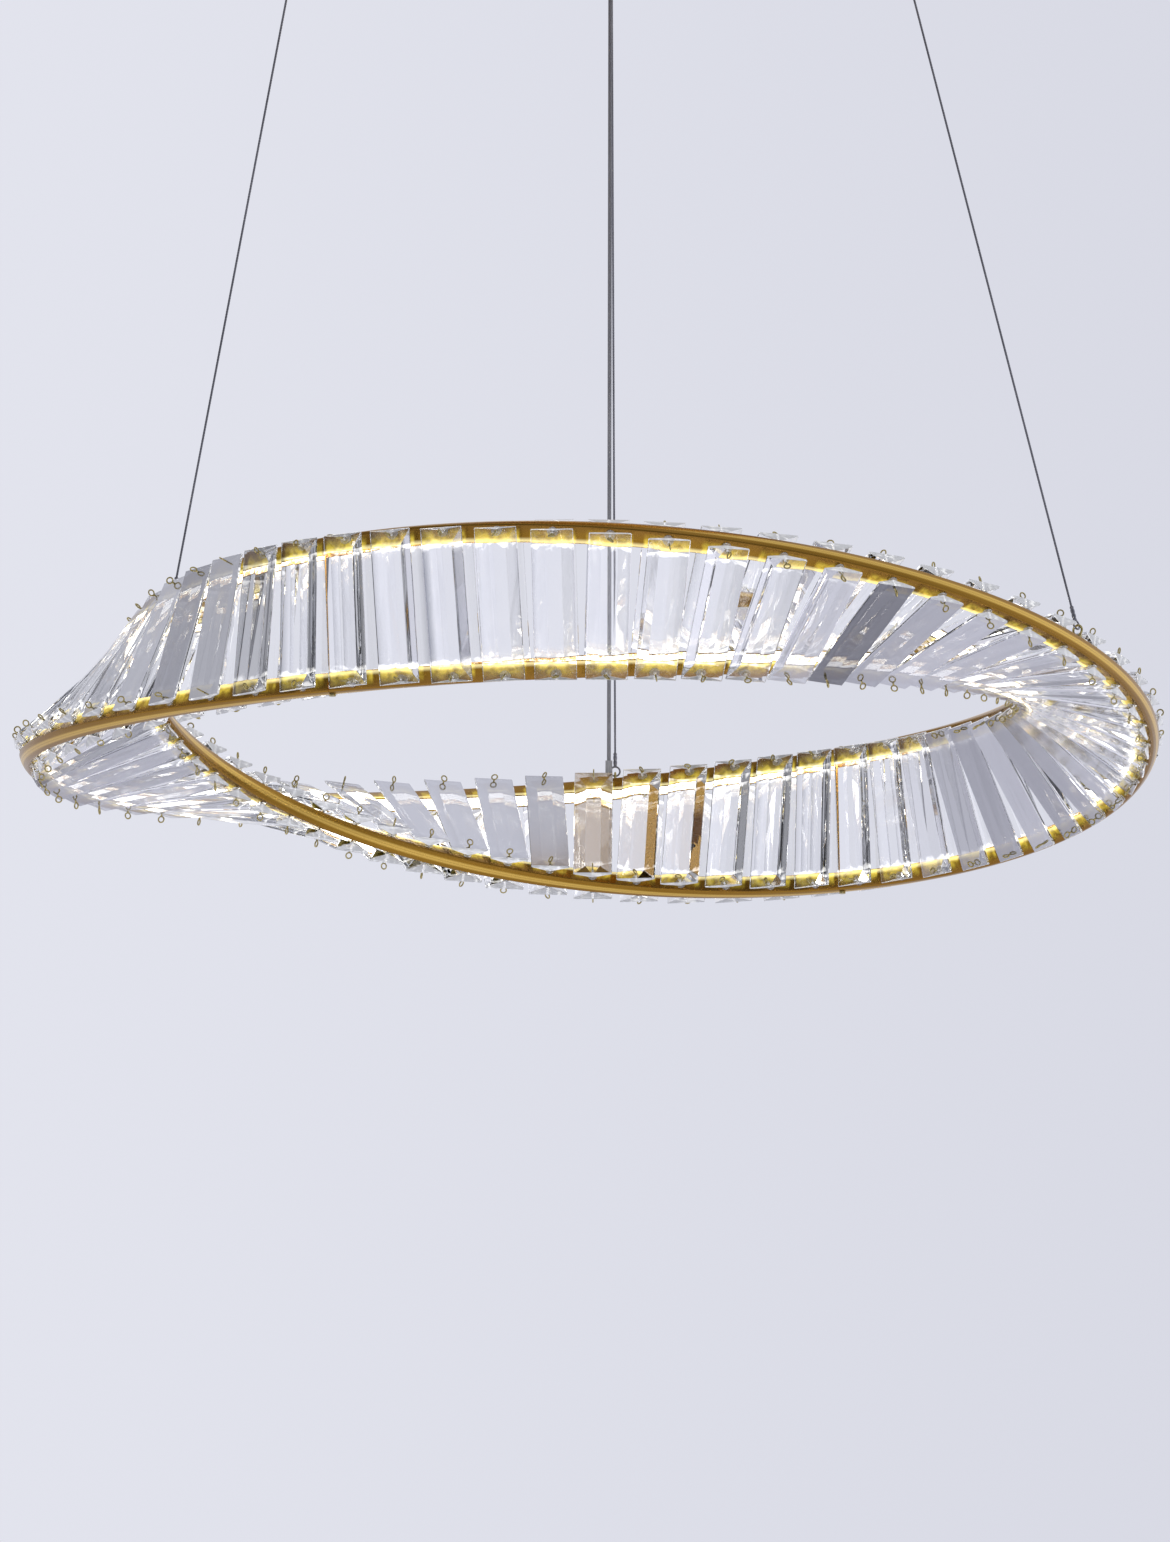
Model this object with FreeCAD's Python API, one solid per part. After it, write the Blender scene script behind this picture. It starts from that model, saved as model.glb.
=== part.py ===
import FreeCAD, Part
import math
import os
from FreeCAD import Placement, Rotation, Vector

# Twisted crystal ring pendant. The origin is the middle of the ceiling face of the bracket,
# +Z points up and -Y points to the side that the lamp is looked at from.
# The band of the ring turns once about its own centre line on its way round, so the two rails
# are two linked hoops. Angles are in degrees, measured from -Y towards +X.

# Ring and band
ring_radius = 261.5
band_half_height = 40.0
hang_drop = 517.0
ring_shift_x = -5.0
ring_shift_y = -3.0
twist_at_front = 32.0
crystal_count = 63
first_gap_angle = -29.3
full_turn = 360.0
hexagon_sides = 6

# Rails: U channels whose open side looks at the other rail
rail_half_width = 4.25
rail_depth = 10.0
rail_wall = 1.0
rail_stations = 26
rail_butt_gap = 0.2

# Light strips in the rails
strip_half_width = 2.6
strip_thickness = 0.6
strip_gap = 0.1
resin_half_width = 1.4
resin_height = 1.0
diffuser_half_width = 2.0
diffuser_recess = 3.0
strut_clear = 3.0

# Crystal bars
crystal_length = 77.0
crystal_width = 21.0
crystal_thickness = 5.0
crystal_edge = 1.2
table_width = 8.0
table_setback = 8.0
table_point_setback = 1.2
spacer_height = 1.2
spacer_radius = 2.4
crystals_per_sector = 21

# Eye pins through crystal, spacer and flange
pin_inset = 4.0
pin_shank_radius = 0.5
pin_hole_radius = 0.65
pin_inner_reach = 0.7
eye_outer_radius = 2.0
eye_inner_radius = 1.2
eye_thickness = 0.8
eye_lift = 0.6
eye_turn_step = 137.5

# Struts between the rails, tubes that a lead can pass through
strut_radius = 1.6
strut_bore_radius = 0.9
strut_screw_radius = 0.8
strut_screw_head_radius = 1.7
strut_screw_head_height = 1.0
strut_screw_length = 6.0
strut_gap_count = 31
seat_clearance = 0.1
feed_lead_radius = 0.5

# Suspension: eye bolts on the ring, steel wires, grippers in the canopy
wire_radius = 0.6
wire_gap_indices = (-6, 15, 36)
wire_names = ("left", "right", "far")
gripper_circle_radius = 168.0
gripper_turn = 1.2
far_eye_side_shift = 2.4
eye_bolt_ring_radius = 2.6
eye_bolt_wire_radius = 0.6
eye_bolt_base_radius = 2.1
eye_bolt_base_height = 1.2
eye_bolt_stand_off = 4.5
eye_bolt_side_shift = 2.0
eye_bolt_neck_radius = 0.8
twist_lift = 0.6
loop_ring_radius = 2.6
loop_wire_radius = 0.5
loop_play = 0.75
ferrule_radius = 1.1
ferrule_length = 8.0
ferrule_overlap = 0.4

# Canopy
canopy_radius = 200.0
canopy_depth = 36.0
canopy_wall = 1.2
canopy_edge_radius = 4.0
side_screw_drop = 10.0

# Ceiling bracket, a cross of two flat bars with turned-down ends
bracket_width = 30.0
bracket_thickness = 2.0
bracket_side_gap = 0.5
bracket_lug_height = 16.0
bracket_arm_length = 160.0
slot_spacing = 110.0
slot_length = 24.0
slot_width = 5.0
inlet_radius = 8.0

# Side screws of the canopy
side_screw_radius = 1.5
side_screw_hole_radius = 1.6
side_screw_length = 8.0
side_screw_head_radius = 3.5
side_screw_head_height = 2.0

# Grippers
barrel_radius = 4.0
barrel_length = 12.0
barrel_thread_length = 7.0
barrel_bore_radius = 3.1
collar_radius = 6.0
collar_height = 2.0
lip_height = 1.0
lip_bore_radius = 2.6
nut_flat_radius = 6.5
nut_height = 3.0
tip_radius = 2.5
tip_head_radius = 3.0
tip_head_height = 1.5
tip_reach = 7.0
tip_bore_radius = 1.5
tip_pivot_depth = 1.0
spring_radius = 2.9
spring_wall = 0.6
spring_length = 4.5
collet_length = 6.0
collet_bore_radius = 0.65
running_gap = 0.1
tail_gap = 0.3
tail_above_nut = 10.0

# Power cord and its strain reliefs
cord_radius = 1.1
cord_inward_shift = 12.2
cord_side_shift_top = 0.4
cord_side_shift_ring = 5.6
cord_face_shift = 2.2
canopy_gland_radius = 3.5
canopy_gland_collar_radius = 5.0
canopy_gland_collar_height = 1.5
canopy_gland_length = 9.0
canopy_gland_tip_radius = 2.4
ring_gland_radius = 2.0
ring_gland_tip_radius = 1.9
ring_gland_length = 10.0
gland_play = 0.6
cord_entry = 5.0

# Driver, terminal block and leads in the canopy
driver_length = 150.0
driver_width = 46.0
driver_height = 27.0
driver_wall = 1.5
driver_offset = 28.0
driver_lid_thickness = 1.5
driver_fit = 0.2
board_thickness = 1.6
transformer_length = 34.0
transformer_width = 28.0
transformer_height = 15.0
capacitor_radius = 5.0
capacitor_height = 14.0
capacitor_count = 3
capacitor_pitch = 13.0
lid_screw_radius = 1.25
lid_screw_length = 5.0
lid_screw_head_radius = 2.4
lid_screw_head_height = 1.4
lid_screw_inset = 5.0
block_length = 36.0
block_width = 20.0
block_height = 13.0
block_offset = -52.0
block_well_radius = 2.4
block_well_depth = 7.0
block_pitch = 11.0
lead_radius = 1.0
lead_pitch = 4.0
lead_gap = 0.15
output_lead_radius = 0.7
output_lead_bend = 9.0
gland_lead_pitch = 1.6
lead_end_gap = 0.5
lead_bend_share = 0.45
earth_screw_radius = 2.0
earth_screw_head_radius = 3.6
earth_screw_head_height = 2.4
earth_screw_offset = -85.0
cut_overrun = 1.0

# Derived sizes
gap_pitch = full_turn / crystal_count
crystal_half = crystal_length / 2
rail_inner_half = rail_half_width - rail_wall
pin_height = band_half_height - pin_inset
crystal_back = rail_half_width + spacer_height
crystal_face = crystal_back + crystal_thickness
canopy_floor = -canopy_depth
canopy_inner = canopy_radius - canopy_wall
barrel_bottom = canopy_floor - barrel_length
tip_bottom = barrel_bottom - tip_reach
pivot_height = tip_bottom + tip_pivot_depth
strut_angles = (first_gap_angle, first_gap_angle + strut_gap_count * gap_pitch)
# the eyes are not equally far from the ring's middle, so the ring hangs a little off the canopy's middle
ring_centre = Vector(ring_shift_x, ring_shift_y, -hang_drop)
up = Vector(0, 0, 1)
x_axis = Vector(1, 0, 0)
y_axis = Vector(0, 1, 0)
origin = Vector(0, 0, 0)


def radial(angle):
    a = math.radians(angle)
    return Vector(math.sin(a), -math.cos(a), 0)


def tangent(angle):
    a = math.radians(angle)
    return Vector(math.cos(a), math.sin(a), 0)


def band_up(angle):
    tilt = math.radians(angle + twist_at_front)
    return up * math.cos(tilt) + radial(angle) * math.sin(tilt)


def band_out(angle):
    tilt = math.radians(angle + twist_at_front)
    return radial(angle) * math.cos(tilt) - up * math.sin(tilt)


def band_point(angle, along, out, side=0):
    # along runs from rail to rail, out is square to the band's face, side runs round the ring
    middle = ring_centre + radial(angle) * ring_radius
    return middle + band_up(angle) * along + band_out(angle) * out + tangent(angle) * side


def band_placement(angle, along, out, face=1):
    turn = Rotation(band_out(angle) * face, tangent(angle) * face, band_up(angle), "ZXY")
    return Placement(band_point(angle, along, out), turn)


def placed(shape, placement):
    copy = shape.copy()
    copy.Placement = placement
    return copy


def cylinder(radius, height, base, direction=up):
    return Part.makeCylinder(radius, height, base, direction)


def cone(radius_low, radius_high, height, base, direction=up):
    return Part.makeCone(radius_low, radius_high, height, base, direction)


def box(size_x, size_y, size_z, centre, bottom):
    corner = Vector(centre.x - size_x / 2, centre.y - size_y / 2, bottom)
    return Part.makeBox(size_x, size_y, size_z, corner)


def fuse(shapes):
    whole = shapes[0].multiFuse(shapes[1:])
    return whole.removeSplitter()


def save(name, solids):
    shape = solids[0] if len(solids) == 1 else Part.makeCompound(solids)
    shape.exportStep("parts/" + name + ".step")
    count = len(shape.Solids)
    print(name, count, "solids", round(shape.Volume), "mm3", "valid" if shape.isValid() else "NOT VALID")


def ribbon(profile, start, end, stations):
    # a closed outline in band axes, carried round the ring from one angle to another
    wires = []
    for i in range(stations):
        angle = start + (end - start) * i / (stations - 1)
        points = [band_point(angle, along, out) for along, out in profile]
        wires.append(Part.makePolygon(points + points[:1]))
    return Part.makeLoft(wires, True, False)


def arc_degrees(length, radius=ring_radius):
    return math.degrees(length / radius)


def gap_angle(index):
    return first_gap_angle + index * gap_pitch


def crystal_angle(index):
    return gap_angle(index + 1 / 2)


# Rails

def rail_profile(side):
    top = band_half_height
    inner = top - rail_wall
    edge = top - rail_depth
    outline = [(top, rail_half_width), (edge, rail_half_width), (edge, rail_inner_half),
               (inner, rail_inner_half), (inner, -rail_inner_half), (edge, -rail_inner_half),
               (edge, -rail_half_width), (top, -rail_half_width)]
    return [(side * along, out) for along, out in outline]


def strip_profile(side):
    # a flat board with a raised bead of light-giving resin down its middle
    top = band_half_height - rail_wall - strip_gap
    low = top - strip_thickness
    bead = low - resin_height
    outline = [(top, strip_half_width), (low, strip_half_width), (low, resin_half_width),
               (bead, resin_half_width), (bead, -resin_half_width), (low, -resin_half_width),
               (low, -strip_half_width), (top, -strip_half_width)]
    return [(side * along, out) for along, out in outline]


def diffuser_profile(side):
    top = band_half_height - rail_wall - 2 * strip_gap - strip_thickness - resin_height
    low = band_half_height - rail_depth + diffuser_recess
    return [(side * top, diffuser_half_width), (side * low, diffuser_half_width),
            (side * low, -diffuser_half_width), (side * top, -diffuser_half_width)]


def half_spans(margin):
    # the two stretches of ring between the struts, shortened by a margin at each end
    first, second = strut_angles
    trim = arc_degrees(margin)
    return [(first + trim, second - trim), (second + trim, first + full_turn - trim)]


def pin_holes(side):
    holes = []
    reach = rail_half_width + cut_overrun
    for i in range(crystal_count):
        angle = crystal_angle(i)
        base = band_point(angle, side * pin_height, -reach)
        holes.append(cylinder(pin_hole_radius, 2 * reach, base, band_out(angle)))
    return holes


def strut_screw_holes(side):
    holes = []
    for angle in strut_angles:
        base = band_point(angle, side * (band_half_height - rail_wall - cut_overrun), 0)
        depth = rail_wall + 2 * cut_overrun
        holes.append(cylinder(strut_screw_radius + seat_clearance, depth, base, band_up(angle) * side))
    return holes


# Suspension points on the ring. Each has a seat on a rail, the seat's normal and the wire's line

def seat_of(name, index):
    angle = gap_angle(index)
    if name == "right":
        seat = band_point(angle, pin_height, -rail_half_width)
        return angle, 1, seat, band_out(angle) * -1
    if name == "far":
        seat = band_point(angle, -band_half_height, -eye_bolt_side_shift, far_eye_side_shift)
        return angle, -1, seat, band_up(angle) * -1
    return angle, 1, band_point(angle, band_half_height, 0), band_up(angle)


def wire_line(name, index):
    angle, side, seat, normal = seat_of(name, index)
    eye = seat + normal * eye_bolt_stand_off
    pivot = radial(angle + gripper_turn) * gripper_circle_radius + up * pivot_height
    direction = (pivot - eye).normalize()
    link = eye_bolt_ring_radius + loop_ring_radius - eye_bolt_wire_radius - loop_wire_radius - loop_play
    loop = eye + direction * link
    return {"angle": angle, "side": side, "seat": seat, "normal": normal, "eye": eye,
            "pivot": pivot, "direction": direction, "loop": loop}


def ring_torus(centre, axis, ring, wire):
    return Part.makeTorus(ring, wire, centre, axis)


def eye_bolt(line):
    axis = line["normal"].cross(line["direction"]).normalize()
    ring = ring_torus(line["eye"], axis, eye_bolt_ring_radius, eye_bolt_wire_radius)
    # the rail twists under the flat base, so the base stands a little off it on its neck
    seat = line["seat"] + line["normal"] * twist_lift
    base = cylinder(eye_bolt_base_radius, eye_bolt_base_height, seat, line["normal"])
    neck_start = line["seat"] - line["normal"] * rail_wall
    neck_length = rail_wall + eye_bolt_stand_off - eye_bolt_ring_radius
    neck = cylinder(eye_bolt_neck_radius, neck_length, neck_start, line["normal"])
    return fuse([neck, base, ring])


def eye_bolt_hole(line):
    start = line["seat"] - line["normal"] * (rail_wall + cut_overrun)
    depth = rail_wall + 2 * cut_overrun
    return cylinder(eye_bolt_neck_radius + seat_clearance, depth, start, line["normal"])


def wire_loop(line):
    side = line["normal"].cross(line["direction"]).normalize()
    axis = side.cross(line["direction"]).normalize()
    ring = ring_torus(line["loop"], axis, loop_ring_radius, loop_wire_radius)
    start = line["loop"] + line["direction"] * (loop_ring_radius - ferrule_overlap)
    ferrule = cylinder(ferrule_radius, ferrule_length, start, line["direction"])
    return fuse([ring, ferrule])


def suspension_wire(line):
    start = line["loop"] + line["direction"] * (loop_ring_radius - ferrule_overlap + ferrule_length)
    length = (line["pivot"] - start).Length
    return cylinder(wire_radius, length, start, line["direction"])


# Power cord, beside the far wire

def cord_line(far):
    angle = far["angle"]
    foot = band_point(angle, -band_half_height, cord_face_shift, cord_side_shift_ring)
    normal = band_up(angle) * -1
    sideways = tangent(angle + gripper_turn)
    inward = radial(angle + gripper_turn) * (gripper_circle_radius - cord_inward_shift)
    top = inward + up * canopy_floor + sideways * cord_side_shift_top
    mouth = foot + normal * ring_gland_length
    direction = (top - foot).normalize()
    return {"foot": foot, "normal": normal, "top": top, "mouth": mouth, "direction": direction}


def canopy_gland(line):
    low = line["direction"] * -1
    stem = cylinder(canopy_gland_radius, canopy_wall, line["top"], up)
    collar_height = canopy_gland_collar_height
    collar = cylinder(canopy_gland_collar_radius, collar_height, line["top"] - up * collar_height, up)
    flange_base = line["top"] + up * canopy_wall
    flange = cylinder(canopy_gland_collar_radius, collar_height, flange_base, up)
    boot_start = line["top"] - up * (collar_height / 2)
    boot = cone(canopy_gland_radius, canopy_gland_tip_radius, canopy_gland_length, boot_start, low)
    bore_start = line["top"] + line["direction"] * (canopy_gland_length / 2)
    bore_length = canopy_gland_length * 2
    bore = cylinder(cord_radius + gland_play, bore_length, bore_start, low)
    return fuse([stem, collar, flange, boot]).cut(bore)


def ring_gland(line):
    start = line["foot"] + line["normal"] * seat_clearance
    low_radius = ring_gland_radius
    boot = cone(low_radius, ring_gland_tip_radius, ring_gland_length, start, line["direction"])
    above_seat = cylinder(ring_gland_length, 2 * ring_gland_length, start, line["normal"])
    bore_start = start + line["direction"] * (ring_gland_length - cord_entry - gland_play)
    bore = cylinder(cord_radius + gland_play / 2, cord_entry * 2, bore_start, line["direction"])
    return boot.common(above_seat).cut(bore)


def power_cord(line):
    boot_top = line["foot"] + line["normal"] * seat_clearance + line["direction"] * ring_gland_length
    start = boot_top - line["direction"] * cord_entry
    end = line["top"] - line["direction"] * (canopy_gland_length / 2)
    return cylinder(cord_radius, (end - start).Length, start, line["direction"])


# Crystals and their pins

def crystal_bar():
    # local X runs outwards, from the pointed table on the band's side to the flat face
    half_width = crystal_width / 2
    table_half = table_width / 2
    low = crystal_thickness - crystal_edge
    rim = [Vector(low, half_width, crystal_half), Vector(low, -half_width, crystal_half),
           Vector(low, -half_width, -crystal_half), Vector(low, half_width, -crystal_half)]
    face = [corner + x_axis * crystal_edge for corner in rim]
    table_end = crystal_half - table_setback
    table_point = crystal_half - table_point_setback
    table = [Vector(0, table_half, table_end), Vector(0, 0, table_point),
             Vector(0, -table_half, table_end), Vector(0, -table_half, -table_end),
             Vector(0, 0, -table_point), Vector(0, table_half, -table_end)]
    facets = [face, table,
              [rim[0], table[0], table[5], rim[3]],
              [rim[1], rim[2], table[3], table[2]],
              [rim[0], rim[1], table[1]],
              [rim[0], table[1], table[0]],
              [rim[1], table[2], table[1]],
              [rim[3], table[4], rim[2]],
              [rim[3], table[5], table[4]],
              [rim[2], table[4], table[3]]]
    for i in range(len(rim)):
        facets.append([rim[i - 1], rim[i], face[i], face[i - 1]])
    faces = [Part.Face(Part.makePolygon(points + points[:1])) for points in facets]
    bar = Part.makeSolid(Part.makeShell(faces))
    if bar.Volume < 0:
        bar.reverse()
    for side in (1, -1):
        base = Vector(-cut_overrun, 0, side * pin_height)
        bar = bar.cut(cylinder(pin_hole_radius, crystal_thickness + 2 * cut_overrun, base, x_axis))
    return bar


def eye_pin():
    # local X runs outwards along the shank, from the inner end to the eye
    inner = rail_half_width - rail_wall - pin_inner_reach
    eye_bottom = crystal_face + eye_lift
    shank_length = eye_bottom - inner + (eye_outer_radius - eye_inner_radius) / 2
    shank = cylinder(pin_shank_radius, shank_length, Vector(inner, 0, 0), x_axis)
    eye_centre = Vector(eye_bottom + eye_outer_radius, -eye_thickness / 2, 0)
    eye = cylinder(eye_outer_radius, eye_thickness, eye_centre, y_axis)
    hole_start = eye_centre - y_axis * cut_overrun
    hole = cylinder(eye_inner_radius, eye_thickness + 2 * cut_overrun, hole_start, y_axis)
    return fuse([eye, shank]).cut(hole)


def spacer():
    low = Vector(rail_half_width + twist_lift, 0, 0)
    height = spacer_height - twist_lift - seat_clearance
    ring = cylinder(spacer_radius, height, low, x_axis)
    hole = cylinder(pin_hole_radius, height + 2 * cut_overrun, low - x_axis * cut_overrun, x_axis)
    return ring.cut(hole)


# Struts

def strut(angle):
    length = 2 * (band_half_height - rail_wall - seat_clearance)
    base = band_point(angle, -length / 2, 0)
    rod = cylinder(strut_radius, length, base, band_up(angle))
    bore = cylinder(strut_bore_radius, length, base, band_up(angle))
    return rod.cut(bore)


def strut_screw(angle, side):
    direction = band_up(angle) * -side
    head_base = band_point(angle, side * (band_half_height + seat_clearance), 0)
    head = cylinder(strut_screw_head_radius, strut_screw_head_height, head_base, direction * -1)
    shank = cylinder(strut_screw_radius, strut_screw_length, head_base, direction)
    return fuse([head, shank])


def feed_lead(angle):
    reach = band_half_height - rail_wall - strut_screw_length
    return cylinder(feed_lead_radius, 2 * reach, band_point(angle, -reach, 0), band_up(angle))


# Canopy, bracket and grippers

def hexagon_prism(radius, height, base):
    points = []
    for i in range(hexagon_sides):
        a = math.radians(i * full_turn / hexagon_sides)
        points.append(base + Vector(radius * math.cos(a), radius * math.sin(a), 0))
    return Part.Face(Part.makePolygon(points + points[:1])).extrude(up * height)


def canopy_cover(lines, cord):
    outer = Part.makeCylinder(canopy_radius, canopy_depth, Vector(0, 0, canopy_floor))
    rim = [edge for edge in outer.Edges if edge.BoundBox.ZMax < canopy_floor + canopy_wall / 2]
    outer = outer.makeFillet(canopy_edge_radius, rim)
    inner_floor = canopy_floor + canopy_wall
    inner = Part.makeCylinder(canopy_inner, canopy_depth, Vector(0, 0, inner_floor))
    rim = [edge for edge in inner.Edges if edge.BoundBox.ZMax < inner_floor + canopy_wall / 2]
    inner = inner.makeFillet(canopy_edge_radius - canopy_wall, rim)
    cover = outer.cut(inner)
    for line in lines:
        base = Vector(line["pivot"].x, line["pivot"].y, canopy_floor - cut_overrun)
        cover = cover.cut(cylinder(barrel_radius + seat_clearance, canopy_wall + 2 * cut_overrun, base))
    base = Vector(cord["top"].x, cord["top"].y, canopy_floor - cut_overrun)
    cover = cover.cut(cylinder(canopy_gland_radius + seat_clearance, canopy_wall + 2 * cut_overrun, base))
    for side in (1, -1):
        base = Vector(side * (canopy_inner - cut_overrun), 0, -side_screw_drop)
        hole = cylinder(side_screw_hole_radius, canopy_wall + 2 * cut_overrun, base, x_axis * side)
        cover = cover.cut(hole)
    return cover


def ceiling_bracket():
    reach = math.sqrt(canopy_inner ** 2 - (bracket_width / 2) ** 2) - bracket_side_gap
    bar = box(2 * reach, bracket_width, bracket_thickness, origin, -bracket_thickness)
    arm = box(bracket_width, bracket_arm_length, bracket_thickness, origin, -bracket_thickness)
    lugs = []
    for side in (1, -1):
        middle = Vector(side * (reach - bracket_thickness / 2), 0, 0)
        lugs.append(box(bracket_thickness, bracket_width, bracket_lug_height, middle, -bracket_lug_height))
    body = fuse([bar, arm] + lugs)
    depth = bracket_thickness + 2 * cut_overrun
    low = -bracket_thickness - cut_overrun
    cuts = [cylinder(inlet_radius, depth, Vector(0, 0, low))]
    for side in (1, -1):
        middle = Vector(0, side * slot_spacing / 2, 0)
        straight = slot_length - slot_width
        cuts.append(box(slot_width, straight, depth, middle, low))
        for end in (1, -1):
            place = Vector(0, middle.y + end * straight / 2, low)
            cuts.append(cylinder(slot_width / 2, depth, place))
        start = Vector(side * (reach - bracket_thickness - cut_overrun), 0, -side_screw_drop)
        cuts.append(cylinder(side_screw_hole_radius, depth, start, x_axis * side))
    cuts.append(cylinder(earth_screw_radius + seat_clearance, depth, Vector(earth_screw_offset, 0, low)))
    for place in driver_screw_places():
        cuts.append(cylinder(lid_screw_radius + seat_clearance, depth, place + up * low))
    return body.cut(Part.makeCompound(cuts))


def side_screw(side):
    start = Vector(side * (canopy_radius + seat_clearance), 0, -side_screw_drop)
    head = cylinder(side_screw_head_radius, side_screw_head_height, start, x_axis * side)
    shank = cylinder(side_screw_radius, side_screw_length, start, x_axis * -side)
    return fuse([head, shank])


def gripper_barrel(pivot):
    at = Vector(pivot.x, pivot.y, 0)
    top = canopy_floor + canopy_wall + barrel_thread_length
    length = top - barrel_bottom
    barrel = cylinder(barrel_radius, length, at + up * barrel_bottom)
    collar = cylinder(collar_radius, collar_height, at + up * (canopy_floor - collar_height))
    body = fuse([barrel, collar])
    lip = barrel_bottom + lip_height
    roof = lip + tip_head_height + spring_length + collet_length + running_gap
    body = body.cut(cylinder(barrel_bore_radius, roof - lip, at + up * lip))
    body = body.cut(cylinder(lip_bore_radius, 2 * lip_height, at + up * (barrel_bottom - lip_height / 2)))
    passage = top - roof + 2 * cut_overrun
    return body.cut(cylinder(collet_bore_radius + running_gap, passage, at + up * (roof - cut_overrun)))


def gripper_nut(pivot):
    base = Vector(pivot.x, pivot.y, canopy_floor + canopy_wall)
    nut = hexagon_prism(nut_flat_radius, nut_height, base)
    hole = cylinder(barrel_radius + running_gap, nut_height + 2 * cut_overrun, base - up * cut_overrun)
    return nut.cut(hole)


def release_tip(pivot):
    at = Vector(pivot.x, pivot.y, 0)
    head_low = barrel_bottom + lip_height
    stem = cylinder(tip_radius, head_low - tip_bottom, at + up * tip_bottom)
    head = cylinder(tip_head_radius, tip_head_height, at + up * head_low)
    bore = cylinder(tip_bore_radius, head_low + tip_head_height - tip_bottom + 2 * cut_overrun,
                    at + up * (tip_bottom - cut_overrun))
    return fuse([stem, head]).cut(bore)


def release_spring(pivot):
    base = Vector(pivot.x, pivot.y, barrel_bottom + lip_height + tip_head_height)
    sleeve = cylinder(spring_radius, spring_length, base)
    return sleeve.cut(cylinder(spring_radius - spring_wall, spring_length, base))


def gripper_collet(pivot):
    base = Vector(pivot.x, pivot.y, barrel_bottom + lip_height + tip_head_height + spring_length)
    narrow = spring_radius - spring_wall
    plug = cone(spring_radius, narrow, collet_length, base)
    return plug.cut(cylinder(collet_bore_radius, collet_length, base))


def wire_tail(pivot):
    start = Vector(pivot.x, pivot.y, pivot_height + tail_gap)
    end = canopy_floor + canopy_wall + barrel_thread_length + tail_above_nut
    return cylinder(wire_radius, end - start.z, start)


# Driver and wiring in the canopy

def driver_centre():
    return Vector(driver_offset + driver_length / 2, 0, 0)


def driver_top():
    return -bracket_thickness


def driver_screw_places():
    middle = driver_centre()
    reach = driver_length / 2 - lid_screw_inset - driver_wall
    return [Vector(middle.x - reach, 0, 0), Vector(middle.x + reach, 0, 0)]


def driver_case():
    middle = driver_centre()
    tall = driver_height - driver_lid_thickness
    low = driver_top() - tall
    shell = box(driver_length, driver_width, tall, middle, low)
    inside_length = driver_length - 2 * driver_wall
    inside_width = driver_width - 2 * driver_wall
    shell = shell.cut(box(inside_length, inside_width, tall - driver_wall, middle, low))
    holes = []
    for place in driver_screw_places():
        base = place + up * (driver_top() - driver_wall - cut_overrun)
        holes.append(cylinder(lid_screw_radius + seat_clearance, driver_wall + 2 * cut_overrun, base))
    mouth_length = driver_wall + 2 * cut_overrun
    for side in (1, -1):
        for y in lead_places(side):
            start = Vector(middle.x + side * (driver_length / 2 - driver_wall - cut_overrun), y, lead_level())
            holes.append(cylinder(lead_radius + lead_gap, mouth_length, start, x_axis * side))
    return shell.cut(Part.makeCompound(holes))


def driver_lid():
    middle = driver_centre()
    low = driver_top() - driver_height
    lid = box(driver_length, driver_width, driver_lid_thickness, middle, low)
    tongue_length = driver_length - 2 * (driver_wall + driver_fit)
    tongue_width = driver_width - 2 * (driver_wall + driver_fit)
    tongue_top = low + driver_lid_thickness
    return fuse([lid, box(tongue_length, tongue_width, driver_lid_thickness, middle, tongue_top)])


def driver_screw(place):
    top = driver_top() - driver_wall - seat_clearance
    head = cylinder(lid_screw_head_radius, lid_screw_head_height, place + up * (top - lid_screw_head_height))
    shank_low = top - lid_screw_head_height
    shank = cylinder(lid_screw_radius, lid_screw_length, place + up * shank_low)
    return fuse([head, shank])


def board_level():
    tongue = 2 * driver_lid_thickness
    return driver_top() - driver_height + tongue + seat_clearance


def driver_board():
    length = driver_length - 2 * (driver_wall + driver_fit)
    width = driver_width - 2 * (driver_wall + driver_fit)
    return box(length, width, board_thickness, driver_centre(), board_level())


def driver_transformer():
    bottom = board_level() + board_thickness
    return box(transformer_length, transformer_width, transformer_height, driver_centre(), bottom)


def driver_capacitors():
    cans = []
    start = driver_centre().x - transformer_length / 2 - 2 * capacitor_radius
    for i in range(capacitor_count):
        place = Vector(start - i * capacitor_pitch, 0, board_level() + board_thickness)
        cans.append(cylinder(capacitor_radius, capacitor_height, place))
    return cans


def lead_level():
    return driver_top() - block_height / 2


def lead_places(side):
    # three mains leads on the inner end, two output leads on the outer end
    count = 3 if side < 0 else 2
    return [(i - (count - 1) / 2) * lead_pitch for i in range(count)]


def terminal_block():
    middle = Vector(block_offset, 0, 0)
    body = box(block_length, block_width, block_height, middle, driver_top() - block_height)
    cuts = []
    for i in (-1, 0, 1):
        base = Vector(block_offset + i * block_pitch, 0, driver_top() - block_height - cut_overrun)
        cuts.append(cylinder(block_well_radius, block_well_depth + cut_overrun, base))
    for y in lead_places(-1):
        start = Vector(block_offset + block_length / 2 - block_well_depth, y, lead_level())
        cuts.append(cylinder(lead_radius + lead_gap, block_well_depth + cut_overrun, start, x_axis))
    return body.cut(Part.makeCompound(cuts))


def mains_leads():
    start_x = block_offset + block_length / 2 - block_well_depth + lead_gap
    end_x = driver_centre().x - driver_length / 2 + driver_wall + cut_overrun
    leads = []
    for y in lead_places(-1):
        leads.append(cylinder(lead_radius, end_x - start_x, Vector(start_x, y, lead_level()), x_axis))
    return leads


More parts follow.
